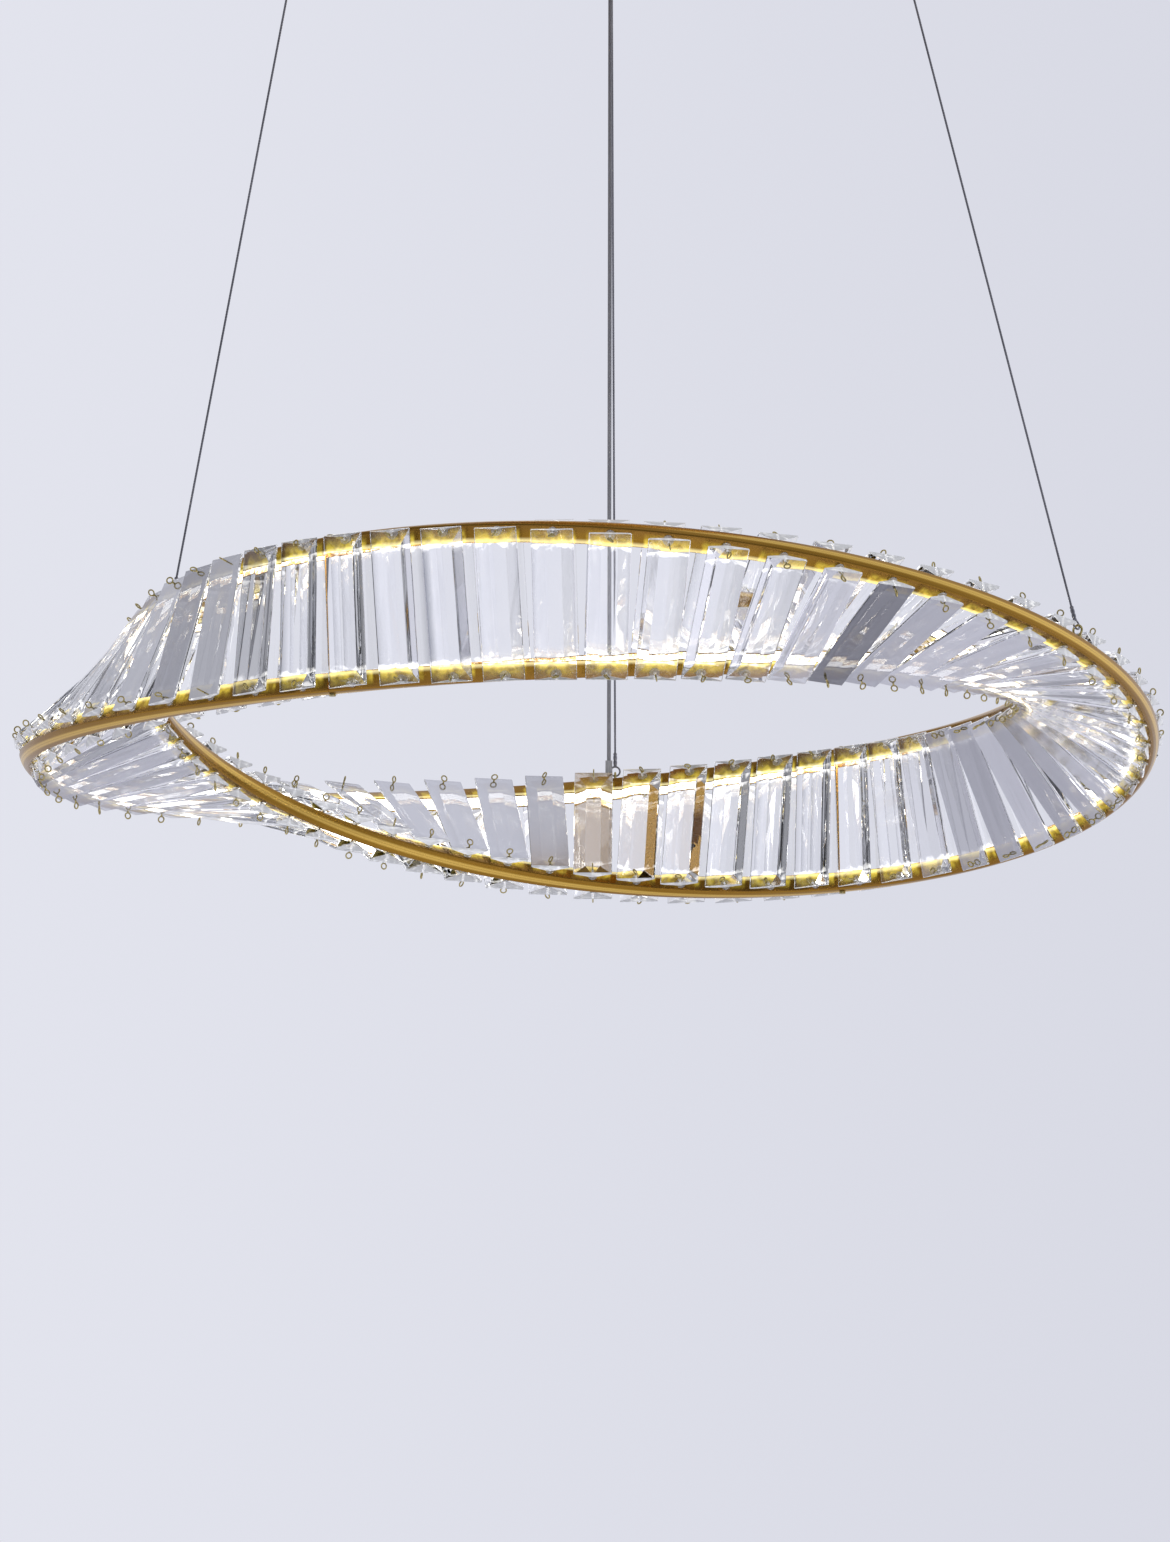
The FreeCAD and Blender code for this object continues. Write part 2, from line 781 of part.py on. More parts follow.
def output_leads(cord):
    # round the driver's outer end, across the canopy and down into the gland along the cord's line
    level = lead_level()
    end_x = driver_centre().x + driver_length / 2
    turn = Vector(end_x + output_lead_bend, driver_width / 2 + output_lead_bend, level)
    goal = cord["top"] + cord["direction"] * ((level - canopy_floor) / cord["direction"].z)
    low = cord["top"] - cord["direction"] * (canopy_gland_length / 2 - lead_end_gap)
    left = up.cross((goal - turn).normalize())
    leads = []
    for y in lead_places(1):
        start = Vector(end_x - driver_wall - cut_overrun, y, level)
        first = Vector(turn.x - y, y, level)
        corner = Vector(turn.x - y, turn.y - y, level)
        aside = left * (y * gland_lead_pitch / lead_pitch)
        leads.append(bent_lead([start, first, corner, goal + aside, low + aside]))
    return leads


def bent_lead(points):
    edges = []
    previous = points[0]
    for i in range(1, len(points) - 1):
        before = (points[i - 1] - points[i]).normalize()
        after = (points[i + 1] - points[i]).normalize()
        shorter = min((points[i - 1] - points[i]).Length, (points[i + 1] - points[i]).Length)
        turn = math.pi - before.getAngle(after)
        reach = min(shorter * lead_bend_share, output_lead_bend)
        radius = reach / math.tan(turn / 2)
        start = points[i] + before * reach
        end = points[i] + after * reach
        middle_way = (before + after).normalize()
        centre = points[i] + middle_way * (radius / math.cos(turn / 2))
        middle = centre - middle_way * radius
        edges.append(Part.LineSegment(previous, start).toShape())
        edges.append(Part.Arc(start, middle, end).toShape())
        previous = end
    edges.append(Part.LineSegment(previous, points[-1]).toShape())
    wire = Part.Wire(edges)
    first_way = (points[1] - points[0]).normalize()
    section = Part.Wire(Part.Circle(points[0], first_way, output_lead_radius).toShape())
    lead = wire.makePipeShell([section], True, False)
    print("lead length", round(wire.Length), "volume", round(lead.Volume),
          "section times length", round(math.pi * output_lead_radius ** 2 * wire.Length))
    return lead


def earth_screw():
    top = -bracket_thickness - seat_clearance
    at = Vector(earth_screw_offset, 0, 0)
    head_low = top - earth_screw_head_height
    head = cylinder(earth_screw_head_radius, earth_screw_head_height, at + up * head_low)
    shank_length = earth_screw_head_height + bracket_thickness
    shank = cylinder(earth_screw_radius, shank_length, at + up * head_low)
    return fuse([head, shank])


def build():
    os.makedirs("parts", exist_ok=True)
    lines = [wire_line(name, index) for name, index in zip(wire_names, wire_gap_indices)]
    far = lines[-1]
    cord = cord_line(far)

    bolt_holes = {1: [], -1: []}
    for line in lines:
        bolt_holes[line["side"]].append(eye_bolt_hole(line))
    cord_hole_start = cord["foot"] - cord["normal"] * (rail_wall + cut_overrun)
    cord_hole = cylinder(cord_radius, rail_wall + 2 * cut_overrun, cord_hole_start, cord["normal"])
    bolt_holes[-1].append(cord_hole)

    for side, rail_name in ((1, "upper"), (-1, "lower")):
        holes = Part.makeCompound(pin_holes(side) + strut_screw_holes(side) + bolt_holes[side])
        spans = half_spans(rail_butt_gap / 2)
        inner_spans = half_spans(strut_clear)
        for i, half_name in enumerate(("front", "back")):
            rail = ribbon(rail_profile(side), spans[i][0], spans[i][1], rail_stations)
            save(rail_name + "_rail_" + half_name, [rail.cut(holes)])
            start, end = inner_spans[i]
            strip = ribbon(strip_profile(side), start, end, rail_stations)
            save("led_strip_" + rail_name + "_" + half_name, [strip])
            diffuser = ribbon(diffuser_profile(side), start, end, rail_stations)
            save("led_diffuser_" + rail_name + "_" + half_name, [diffuser])

    bar = crystal_bar()
    for face, face_name in ((1, "outer"), (-1, "inner")):
        for sector, sector_name in enumerate(("right", "back", "left")):
            first = sector * crystals_per_sector
            bars = []
            for i in range(first, min(first + crystals_per_sector, crystal_count)):
                bars.append(placed(bar, band_placement(crystal_angle(i), 0, face * crystal_back, face)))
            save("crystals_" + face_name + "_" + sector_name, bars)

    pin = eye_pin()
    washer = spacer()
    for face, face_name in ((1, "outer"), (-1, "inner")):
        washers = []
        for side, rail_name in ((1, "upper"), (-1, "lower")):
            pins = []
            for i in range(crystal_count):
                place = band_placement(crystal_angle(i), side * pin_height, 0, face)
                turned = pin.copy()
                turned.rotate(origin, x_axis, i * eye_turn_step)
                pins.append(placed(turned, place.multiply(turned.Placement)))
                washers.append(placed(washer, place))
            save("eye_pins_" + rail_name + "_" + face_name, pins)
        save("crystal_spacers_" + face_name, washers)

    save("struts", [strut(angle) for angle in strut_angles])
    save("strut_screws", [strut_screw(angle, side) for angle in strut_angles for side in (1, -1)])
    save("feed_lead", [feed_lead(strut_angles[1])])
    save("eye_bolts", [eye_bolt(line) for line in lines])
    for name, line in zip(wire_names, lines):
        save("suspension_wire_" + name, [suspension_wire(line)])
        save("wire_loop_" + name, [wire_loop(line)])
        save("gripper_release_" + name, [release_tip(line["pivot"])])
        save("release_spring_" + name, [release_spring(line["pivot"])])
        print(name, "pivot", line["pivot"], "loop", line["loop"])
        print(name, "wire length", (line["pivot"] - line["loop"]).Length)
    save("gripper_barrels", [gripper_barrel(line["pivot"]) for line in lines])
    save("gripper_nuts", [gripper_nut(line["pivot"]) for line in lines])
    save("gripper_collets", [gripper_collet(line["pivot"]) for line in lines])
    save("wire_tails", [wire_tail(line["pivot"]) for line in lines])

    print("cord top", cord["top"], "foot", cord["foot"], "direction", cord["direction"])
    save("power_cord", [power_cord(cord)])
    save("cord_gland_canopy", [canopy_gland(cord)])
    save("cord_gland_ring", [ring_gland(cord)])
    save("canopy_cover", [canopy_cover(lines, cord)])
    save("ceiling_bracket", [ceiling_bracket()])
    save("canopy_side_screws", [side_screw(side) for side in (1, -1)])
    save("driver_case", [driver_case()])
    save("driver_lid", [driver_lid()])
    save("driver_screws", [driver_screw(place) for place in driver_screw_places()])
    save("driver_board", [driver_board()])
    save("driver_transformer", [driver_transformer()])
    save("driver_capacitors", driver_capacitors())
    save("terminal_block", [terminal_block()])
    save("mains_leads", mains_leads())
    save("output_leads", output_leads(cord))
    save("earth_screw", [earth_screw()])


build()
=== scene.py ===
import math
import bmesh
import bpy
import numpy as np
from mathutils import Matrix, Vector


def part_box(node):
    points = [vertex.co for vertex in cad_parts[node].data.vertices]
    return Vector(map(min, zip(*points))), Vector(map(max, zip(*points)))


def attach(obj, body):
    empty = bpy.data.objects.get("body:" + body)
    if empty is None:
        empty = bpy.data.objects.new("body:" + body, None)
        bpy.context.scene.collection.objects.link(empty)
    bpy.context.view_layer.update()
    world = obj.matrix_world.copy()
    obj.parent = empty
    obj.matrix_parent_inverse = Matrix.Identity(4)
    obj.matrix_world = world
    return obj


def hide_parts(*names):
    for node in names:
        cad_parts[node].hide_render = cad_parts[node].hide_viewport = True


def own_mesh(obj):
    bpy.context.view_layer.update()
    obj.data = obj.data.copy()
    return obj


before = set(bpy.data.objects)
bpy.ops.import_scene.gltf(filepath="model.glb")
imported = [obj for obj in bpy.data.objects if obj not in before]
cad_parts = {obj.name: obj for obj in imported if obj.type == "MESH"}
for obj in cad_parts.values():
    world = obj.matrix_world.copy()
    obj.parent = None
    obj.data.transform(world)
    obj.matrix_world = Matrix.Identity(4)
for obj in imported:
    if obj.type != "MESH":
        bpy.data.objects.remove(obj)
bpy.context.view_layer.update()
print("frame loaded,", len(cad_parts), "nodes")

mm = 0.001

# The band turns once about its own centre line on its way round the ring. Angles are in degrees
# from the front, positive to the right, as the solids have them.
ringFacts = {"radius": 261.5 * mm, "halfHeight": 40 * mm, "centre": (-5 * mm, -3 * mm, -517 * mm),
             "twist": 32.0, "crystals": 63, "pitch": 360 / 63, "firstGap": -29.3, "strutGaps": 31,
             "pinHeight": 36 * mm}


# Arithmetic on the sockets of a material or the world

def reckon(nodes, links, operation, *terms):
    # one step of arithmetic on sockets and numbers
    node = nodes.new("ShaderNodeMath")
    node.operation = operation
    for socket, term in zip(node.inputs, terms):
        if isinstance(term, (int, float)):
            socket.default_value = term
        else:
            links.new(term, socket)
    return node.outputs[0]


def rise(nodes, links, value, start, end, low=0.0, high=1.0, smooth=True):
    # low up to the start, high from the end on, smooth or straight between
    node = nodes.new("ShaderNodeMapRange")
    if smooth:
        node.interpolation_type = "SMOOTHSTEP"
    for socketName, number in (("From Min", start), ("From Max", end), ("To Min", low), ("To Max", high)):
        node.inputs[socketName].default_value = number
    links.new(value, node.inputs["Value"])
    return node.outputs["Result"]


def rayKinds(nodes, links):
    # the node that tells the kinds of ray apart, and 1 for the rays that metal and glass send on
    rays = nodes.new("ShaderNodeLightPath")
    glossy, through = rays.outputs["Is Glossy Ray"], rays.outputs["Is Transmission Ray"]
    return rays, reckon(nodes, links, "MAXIMUM", glossy, through)


# Camera and room

cameraFacts = {"distance": 4803.7 * mm, "elevation": 13.605, "roll": -0.195, "lens": 214.475,
               "sensor": 36, "shiftX": -0.00171, "shiftY": -0.03054, "farthest": 60}
roomFacts = {"floorDrop": 2.3, "floorSize": 60, "floorColour": (0.66, 0.66, 0.73), "floorLift": 0.45,
             "floorRough": 0.9, "leftColour": (0.77, 0.78, 0.855), "rightColour": (0.685, 0.695, 0.775),
             "colourReach": 0.10, "fillColour": (0.80, 0.81, 0.86), "fillStrength": 0.62,
             "frontShade": 0.31, "frontStart": -0.9, "frontEnd": 0.35,
             "leftShade": 0.74, "rightShade": 1.32, "sideReach": 0.9}
lampFacts = {
    "keyLamp": {"place": (-2.2, -2.4, 1.0), "size": (1.6, 1.6), "watts": 46, "colour": (1, 0.99, 0.97)},
    "sideLamp": {"place": (2.8, -0.6, -0.2), "size": (1.2, 1.8), "watts": 26, "colour": (0.96, 0.98, 1)},
    "lowLamp": {"place": (0.2, -2.0, -2.1), "size": (1.8, 1.0), "watts": 18, "colour": (1, 1, 1)},
}
lampAim = (0, 0, -0.5)


def makeCamera(facts):
    # looks up at the ring's centre, from below it and in front
    elevation = math.radians(facts["elevation"])
    roll = math.radians(facts["roll"])
    forward = Vector((0, math.cos(elevation), math.sin(elevation)))
    upward = Vector((0, -math.sin(elevation), math.cos(elevation)))
    right = Vector((1, 0, 0))
    rolledRight = right * math.cos(roll) - upward * math.sin(roll)
    rolledUp = right * math.sin(roll) + upward * math.cos(roll)
    camera = bpy.data.objects.new("camera", bpy.data.cameras.new("camera"))
    bpy.context.scene.collection.objects.link(camera)
    axes = Matrix((rolledRight, rolledUp, -forward)).transposed()
    camera.matrix_world = axes.to_4x4()
    camera.location = Vector(ringFacts["centre"]) - forward * facts["distance"]
    camera.data.lens = facts["lens"]
    camera.data.sensor_width = facts["sensor"]
    camera.data.shift_x = facts["shiftX"]
    camera.data.shift_y = facts["shiftY"]
    camera.data.clip_end = facts["farthest"]
    bpy.context.scene.camera = camera


def makeLamp(name, facts, aim):
    # a soft rectangle of light that metal and glass don't mirror
    data = bpy.data.lights.new(name, "AREA")
    data.shape = "RECTANGLE"
    data.size, data.size_y = facts["size"]
    data.energy = facts["watts"]
    data.color = facts["colour"]
    lamp = bpy.data.objects.new(name, data)
    bpy.context.scene.collection.objects.link(lamp)
    lamp.visible_glossy = False
    lamp.visible_transmission = False
    lamp.location = facts["place"]
    lamp.rotation_euler = (Vector(aim) - lamp.location).to_track_quat("-Z", "Y").to_euler()


def makeWorld(facts):
    world = bpy.data.worlds.new("softStudio")
    bpy.context.scene.world = world
    world.use_nodes = True
    nodes, links = world.node_tree.nodes, world.node_tree.links
    nodes.clear()
    output = nodes.new("ShaderNodeOutputWorld")
    coords = nodes.new("ShaderNodeTexCoord")
    split = nodes.new("ShaderNodeSeparateXYZ")
    links.new(coords.outputs["Generated"], split.inputs[0])

    # the backdrop that is seen directly, a little lighter on the left
    across = rise(nodes, links, split.outputs["X"], -facts["colourReach"], facts["colourReach"])
    backdrop = nodes.new("ShaderNodeMix")
    backdrop.data_type = "RGBA"
    backdrop.inputs["A"].default_value = (*facts["leftColour"], 1)
    backdrop.inputs["B"].default_value = (*facts["rightColour"], 1)
    links.new(across, backdrop.inputs["Factor"])

    # what metal and glass see: the same backdrop, darker towards the room on the viewer's side
    # and a little lighter from left to right
    depth = rise(nodes, links, split.outputs["Y"], facts["frontStart"], facts["frontEnd"],
                 facts["frontShade"])
    aside = rise(nodes, links, split.outputs["X"], -facts["sideReach"], facts["sideReach"],
                 facts["leftShade"], facts["rightShade"], smooth=False)
    level = reckon(nodes, links, "MULTIPLY", depth, aside)
    seen = nodes.new("ShaderNodeBackground")
    links.new(backdrop.outputs["Result"], seen.inputs["Color"])
    mirrored = nodes.new("ShaderNodeBackground")
    links.new(backdrop.outputs["Result"], mirrored.inputs["Color"])
    links.new(level, mirrored.inputs["Strength"])
    fill = nodes.new("ShaderNodeBackground")
    fill.inputs["Color"].default_value = (*facts["fillColour"], 1)
    fill.inputs["Strength"].default_value = facts["fillStrength"]

    rays, shiny = rayKinds(nodes, links)
    withMirror = nodes.new("ShaderNodeMixShader")
    links.new(shiny, withMirror.inputs[0])
    links.new(fill.outputs[0], withMirror.inputs[1])
    links.new(mirrored.outputs[0], withMirror.inputs[2])
    withBackdrop = nodes.new("ShaderNodeMixShader")
    links.new(rays.outputs["Is Camera Ray"], withBackdrop.inputs[0])
    links.new(withMirror.outputs[0], withBackdrop.inputs[1])
    links.new(seen.outputs[0], withBackdrop.inputs[2])
    links.new(withBackdrop.outputs[0], output.inputs["Surface"])


def makeFloor(facts):
    half = facts["floorSize"] / 2
    low = -facts["floorDrop"]
    mesh = bpy.data.meshes.new("floor")
    mesh.from_pydata([(-half, -half, low), (half, -half, low), (half, half, low), (-half, half, low)],
                     [], [(0, 1, 2, 3)])
    floor = bpy.data.objects.new("floor", mesh)
    bpy.context.scene.collection.objects.link(floor)
    material = bpy.data.materials.new("paleFloor")
    material.use_nodes = True
    shader = material.node_tree.nodes["Principled BSDF"]
    shader.inputs["Base Color"].default_value = (*facts["floorColour"], 1)
    shader.inputs["Roughness"].default_value = facts["floorRough"]
    # the floor keeps the shadow, and looks paler to the camera and in metal and glass
    nodes, links = material.node_tree.nodes, material.node_tree.links
    rays, shiny = rayKinds(nodes, links)
    direct = reckon(nodes, links, "MAXIMUM", rays.outputs["Is Camera Ray"], shiny)
    lift = reckon(nodes, links, "MULTIPLY", direct, facts["floorLift"])
    shader.inputs["Emission Color"].default_value = (*facts["floorColour"], 1)
    links.new(lift, shader.inputs["Emission Strength"])
    mesh.materials.append(material)


makeCamera(cameraFacts)
makeWorld(roomFacts)
makeFloor(roomFacts)
for lampName, lampNumbers in lampFacts.items():
    makeLamp(lampName, lampNumbers, lampAim)
bpy.context.scene.view_settings.view_transform = "Standard"
print("camera, room and lamps placed")


# Finishes

def newMaterial(name):
    material = bpy.data.materials.new(name)
    material.use_nodes = True
    return material, material.node_tree.nodes, material.node_tree.links


def patternCoords(nodes, links, scale):
    # object coordinates, in metres, times a scale: a larger one gives a finer pattern
    coords = nodes.new("ShaderNodeTexCoord")
    mapping = nodes.new("ShaderNodeMapping")
    mapping.inputs["Scale"].default_value = (scale, scale, scale)
    links.new(coords.outputs["Object"], mapping.inputs["Vector"])
    return mapping.outputs["Vector"]


def colourRun(nodes, links, value, stops):
    # a number turned into a run of colours or greys, given as places with their colours
    ramp = nodes.new("ShaderNodeValToRGB")
    for element, (position, colour) in zip(ramp.color_ramp.elements, (stops[0], stops[-1])):
        element.position = position
        element.color = (*colour, 1)
    for position, colour in stops[1:-1]:
        ramp.color_ramp.elements.new(position).color = (*colour, 1)
    links.new(value, ramp.inputs["Fac"])
    return ramp.outputs["Color"]


def noiseRamp(nodes, links, vector, detail, stops):
    # a soft noise, as a number and as a run of colours or greys
    noise = nodes.new("ShaderNodeTexNoise")
    noise.inputs["Scale"].default_value = 1
    noise.inputs["Detail"].default_value = detail
    links.new(vector, noise.inputs["Vector"])
    return noise.outputs["Fac"], colourRun(nodes, links, noise.outputs["Fac"], stops)


def grey(value):
    return (value, value, value)


def addBump(nodes, links, height, strength, distance):
    bump = nodes.new("ShaderNodeBump")
    bump.inputs["Strength"].default_value = strength
    bump.inputs["Distance"].default_value = distance
    links.new(height, bump.inputs["Height"])
    links.new(bump.outputs["Normal"], nodes["Principled BSDF"].inputs["Normal"])


def metalFinish(name, dark, light, roughLow, roughHigh, grain, bump):
    # metal with a slow drift of tone, a fine grain and uneven gloss
    material, nodes, links = newMaterial(name)
    shader = nodes["Principled BSDF"]
    shader.inputs["Metallic"].default_value = 1
    slow = patternCoords(nodes, links, 22)
    tone = noiseRamp(nodes, links, slow, 3, [(0.3, dark), (0.7, light)])[1]
    links.new(tone, shader.inputs["Base Color"])
    fine = patternCoords(nodes, links, grain)
    height, gloss = noiseRamp(nodes, links, fine, 4, [(0.25, grey(roughLow)), (0.75, grey(roughHigh))])
    links.new(gloss, shader.inputs["Roughness"])
    addBump(nodes, links, height, bump, 0.0004)
    return material


def mouldedFinish(name, dark, light, roughLow, roughHigh, grain, bump):
    # moulded plastic: fine spark texture, slight tone drift
    material, nodes, links = newMaterial(name)
    shader = nodes["Principled BSDF"]
    slow = patternCoords(nodes, links, 30)
    tone = noiseRamp(nodes, links, slow, 2, [(0.3, dark), (0.7, light)])[1]
    links.new(tone, shader.inputs["Base Color"])
    fine = patternCoords(nodes, links, grain)
    height, gloss = noiseRamp(nodes, links, fine, 3, [(0.3, grey(roughLow)), (0.7, grey(roughHigh))])
    links.new(gloss, shader.inputs["Roughness"])
    addBump(nodes, links, height, bump, 0.0003)
    return material


def placeAxes(nodes, links):
    # the three numbers that setPlace keeps
    attribute = nodes.new("ShaderNodeAttribute")
    attribute.attribute_name = "place"
    split = nodes.new("ShaderNodeSeparateXYZ")
    links.new(attribute.outputs["Vector"], split.inputs[0])
    return split.outputs


def tinted(nodes, links, colour, amount):
    # a colour faded to black by an amount
    node = nodes.new("ShaderNodeMix")
    node.data_type = "RGBA"
    node.inputs["A"].default_value = (0, 0, 0, 1)
    node.inputs["B"].default_value = (*colour, 1)
    links.new(amount, node.inputs["Factor"])
    return node.outputs["Result"]


# the darker gold laid near the web is painted shade, the streak's colour a painted highlight, and the
# spill, lip and inside colours the strip's light painted on the rail
litRailFacts = {"dark": (0.29, 0.150, 0.017), "light": (0.37, 0.202, 0.027), "roughLow": 0.20,
                "roughHigh": 0.32, "grain": 1500, "grainBump": 0.03, "paintedShade": (0.30, 0.155, 0.03),
                "barShare": 0.40, "barEdge": 0.03, "inside": (0.94, 0.91, 0.80),
                "paintedHighlight": (0.74, 0.48, 0.11), "highlightPlace": 0.15, "highlightWidth": 0.32,
                "spill": (1.0, 0.80, 0.10), "lip": (1.0, 0.93, 0.50), "spillStrength": 0.75,
                "patchScale": 260, "patches": [(0.36, grey(0.25)), (0.62, grey(1.0))],
                "dotScale": 420, "dots": [(0.40, grey(0.15)), (0.58, grey(1.0))]}


def litRailFinish(name, facts):
    # gold with a painted highlight streak along the web, painted shade towards its edges and on the
    # flanges towards the web, and the strip's light painted on the flanges behind each bar, along the
    # lips and inside the channel. Height runs from the lips, 0, to the web, 1, and out from one
    # flange, -1, to the other, 1
    material = metalFinish(name, facts["dark"], facts["light"], facts["roughLow"], facts["roughHigh"],
                           facts["grain"], facts["grainBump"])
    nodes, links = material.node_tree.nodes, material.node_tree.links
    shader = nodes["Principled BSDF"]

    def times(one, two):
        return reckon(nodes, links, "MULTIPLY", one, two)

    def between(one, two):
        return reckon(nodes, links, "ABSOLUTE", reckon(nodes, links, "SUBTRACT", one, two))

    def climb(value, start, end):
        return rise(nodes, links, value, start, end)

    def fall(value, start, end):
        return reckon(nodes, links, "SUBTRACT", 1, climb(value, start, end))

    def speckle(scale, stops):
        return noiseRamp(nodes, links, patternCoords(nodes, links, scale), 1, stops)[1]

    along, height, out = placeAxes(nodes, links)
    across = reckon(nodes, links, "ABSOLUTE", out)
    offset = between(reckon(nodes, links, "FRACT", along), 0.5)
    behindBar = fall(offset, facts["barShare"] - facts["barEdge"], facts["barShare"] + facts["barEdge"])
    onFlange = climb(across, 0.90, 0.98)
    onWeb = climb(height, 0.93, 0.96)
    fade = fall(height, 0.05, 0.85)
    # painted light: the strip's glow on the flanges behind each bar, in broken patches, fading towards the
    # web
    spill = times(times(fade, speckle(facts["patchScale"], facts["patches"])), times(behindBar, onFlange))
    # painted light: a glow along the flanges just above their lips
    lip = times(times(onFlange, climb(height, 0.03, 0.05)), fall(height, 0.08, 0.30))
    glow = nodes.new("ShaderNodeMix")
    glow.data_type = "RGBA"
    glow.blend_type = "ADD"
    glow.inputs["Factor"].default_value = 1
    links.new(tinted(nodes, links, facts["spill"], spill), glow.inputs["A"])
    links.new(tinted(nodes, links, facts["lip"], lip), glow.inputs["B"])
    links.new(glow.outputs["Result"], shader.inputs["Emission Color"])
    shader.inputs["Emission Strength"].default_value = facts["spillStrength"]

    # painted highlight: a bright streak along the web
    paintedHighlight = fall(between(across, facts["highlightPlace"]), 0.0, facts["highlightWidth"])
    # painted light: the strip's light on the channel's inside, broken into dots
    inside = times(fall(across, 0.77, 0.80), fall(height, 0.86, 0.89))
    dots = speckle(facts["dotScale"], facts["dots"])
    # painted shade on the flanges towards the web and on the web towards its edges, then the painted
    # highlight and the painted light inside the channel, laid over the gold
    colours = [(times(onFlange, climb(height, 0.3, 0.9)), facts["paintedShade"]),
               (times(onWeb, climb(across, 0.5, 0.95)), facts["paintedShade"]),
               (times(onWeb, paintedHighlight), facts["paintedHighlight"]),
               (times(inside, dots), facts["inside"])]
    for share, colour in colours:
        layer = nodes.new("ShaderNodeMix")
        layer.data_type = "RGBA"
        links.new(share, layer.inputs["Factor"])
        links.new(shader.inputs["Base Color"].links[0].from_socket, layer.inputs["A"])
        layer.inputs["B"].default_value = (*colour, 1)
        links.new(layer.outputs["Result"], shader.inputs["Base Color"])
    return material


# the slope greys are painted shade on the cut slopes, the sheen greys the painted grey of the face's
# reflection, and the frost light and glow numbers the strips' light painted on the bars
glassFacts = {"index": 1.54, "dark": (0.965, 0.97, 0.985), "light": (1, 1, 1), "toneScale": 60,
              "paintedSlopeShades": [(0.05, (0.34, 0.35, 0.38)), (0.60, (1, 1, 1))], "sheenRough": 0.12,
              "sheenTones": [(0.04, (0.24, 0.24, 0.26)), (0.10, (0.50, 0.50, 0.53)),
                             (0.75, (0.70, 0.70, 0.73))],
              "sheenShares": [(0.22, 0.0), (0.36, 0.93), (0.68, 0.93), (0.82, 0.25)],
              "frost": (0.90, 0.91, 0.94), "frostRough": 0.7, "frostShare": 0.45, "frostLight": 0.40,
              "glowStart": 26.0, "glowFull": 30.6, "glowEnd": 30.4, "glowStop": 31.2,
              "glowTint": (1, 0.99, 0.96), "glowStrength": 0.7, "glowContrast": 1.6,
              "glintScale": 240, "glints": [(0.32, grey(0)), (0.68, grey(1))]}


def crystalFinish(name, facts):
    # cut crystal: nearly clear, with a slow trace of tone
    material, nodes, links = newMaterial(name)
    shader = nodes["Principled BSDF"]
    shader.inputs["Transmission Weight"].default_value = 1
    shader.inputs["IOR"].default_value = facts["index"]
    shader.inputs["Roughness"].default_value = 0.0
    slow = patternCoords(nodes, links, facts["toneScale"])
    tone = noiseRamp(nodes, links, slow, 1, [(0.3, facts["dark"]), (0.7, facts["light"])])[1]
    links.new(tone, shader.inputs["Base Color"])
    return material, nodes, links


def paintedBarShade(nodes, links, name, tones):
    # a painted shade or sheen grey that follows one of the numbers each bar keeps
    attribute = nodes.new("ShaderNodeAttribute")
    attribute.attribute_name = name
    return colourRun(nodes, links, attribute.outputs["Fac"], tones)


def crystalCutFinish(name, facts):
    # the cut facets take painted shade towards a bar's edges, and painted glints of the strips' light
    # near both rails in broken patches: noise plus the rise near the rail, less 1, less the fall past the
    # glow's end
    material, nodes, links = crystalFinish(name, facts)
    shader = nodes["Principled BSDF"]
    links.new(paintedBarShade(nodes, links, "paintedSlopeShade", facts["paintedSlopeShades"]), shader.inputs["Base Color"])
    reach = reckon(nodes, links, "ABSOLUTE", placeAxes(nodes, links)[2])
    near = rise(nodes, links, reach, facts["glowStart"], facts["glowFull"])
    past = rise(nodes, links, reach, facts["glowEnd"], facts["glowStop"])
    fine = patternCoords(nodes, links, facts["glintScale"])
    broken = noiseRamp(nodes, links, fine, 2, facts["glints"])[1]
    level = reckon(nodes, links, "SUBTRACT", reckon(nodes, links, "ADD", near, broken),
                   reckon(nodes, links, "ADD", reckon(nodes, links, "MULTIPLY", past, 2), 1))
    lit = reckon(nodes, links, "MULTIPLY", level, facts["glowContrast"])
    clipped = nodes.new("ShaderNodeClamp")
    links.new(lit, clipped.inputs["Value"])
    links.new(tinted(nodes, links, facts["glowTint"], clipped.outputs[0]), shader.inputs["Emission Color"])
    shader.inputs["Emission Strength"].default_value = facts["glowStrength"]
    return material


def mixedOver(nodes, links, over, share):
    # lays one shader over the glass, by a share that is a number or comes from a socket
    blend = nodes.new("ShaderNodeMixShader")
    if isinstance(share, float):
        blend.inputs[0].default_value = share
    else:
        links.new(share, blend.inputs[0])
    links.new(nodes["Principled BSDF"].outputs[0], blend.inputs[1])
    links.new(over.outputs[0], blend.inputs[2])
    links.new(blend.outputs[0], nodes["Material Output"].inputs["Surface"])


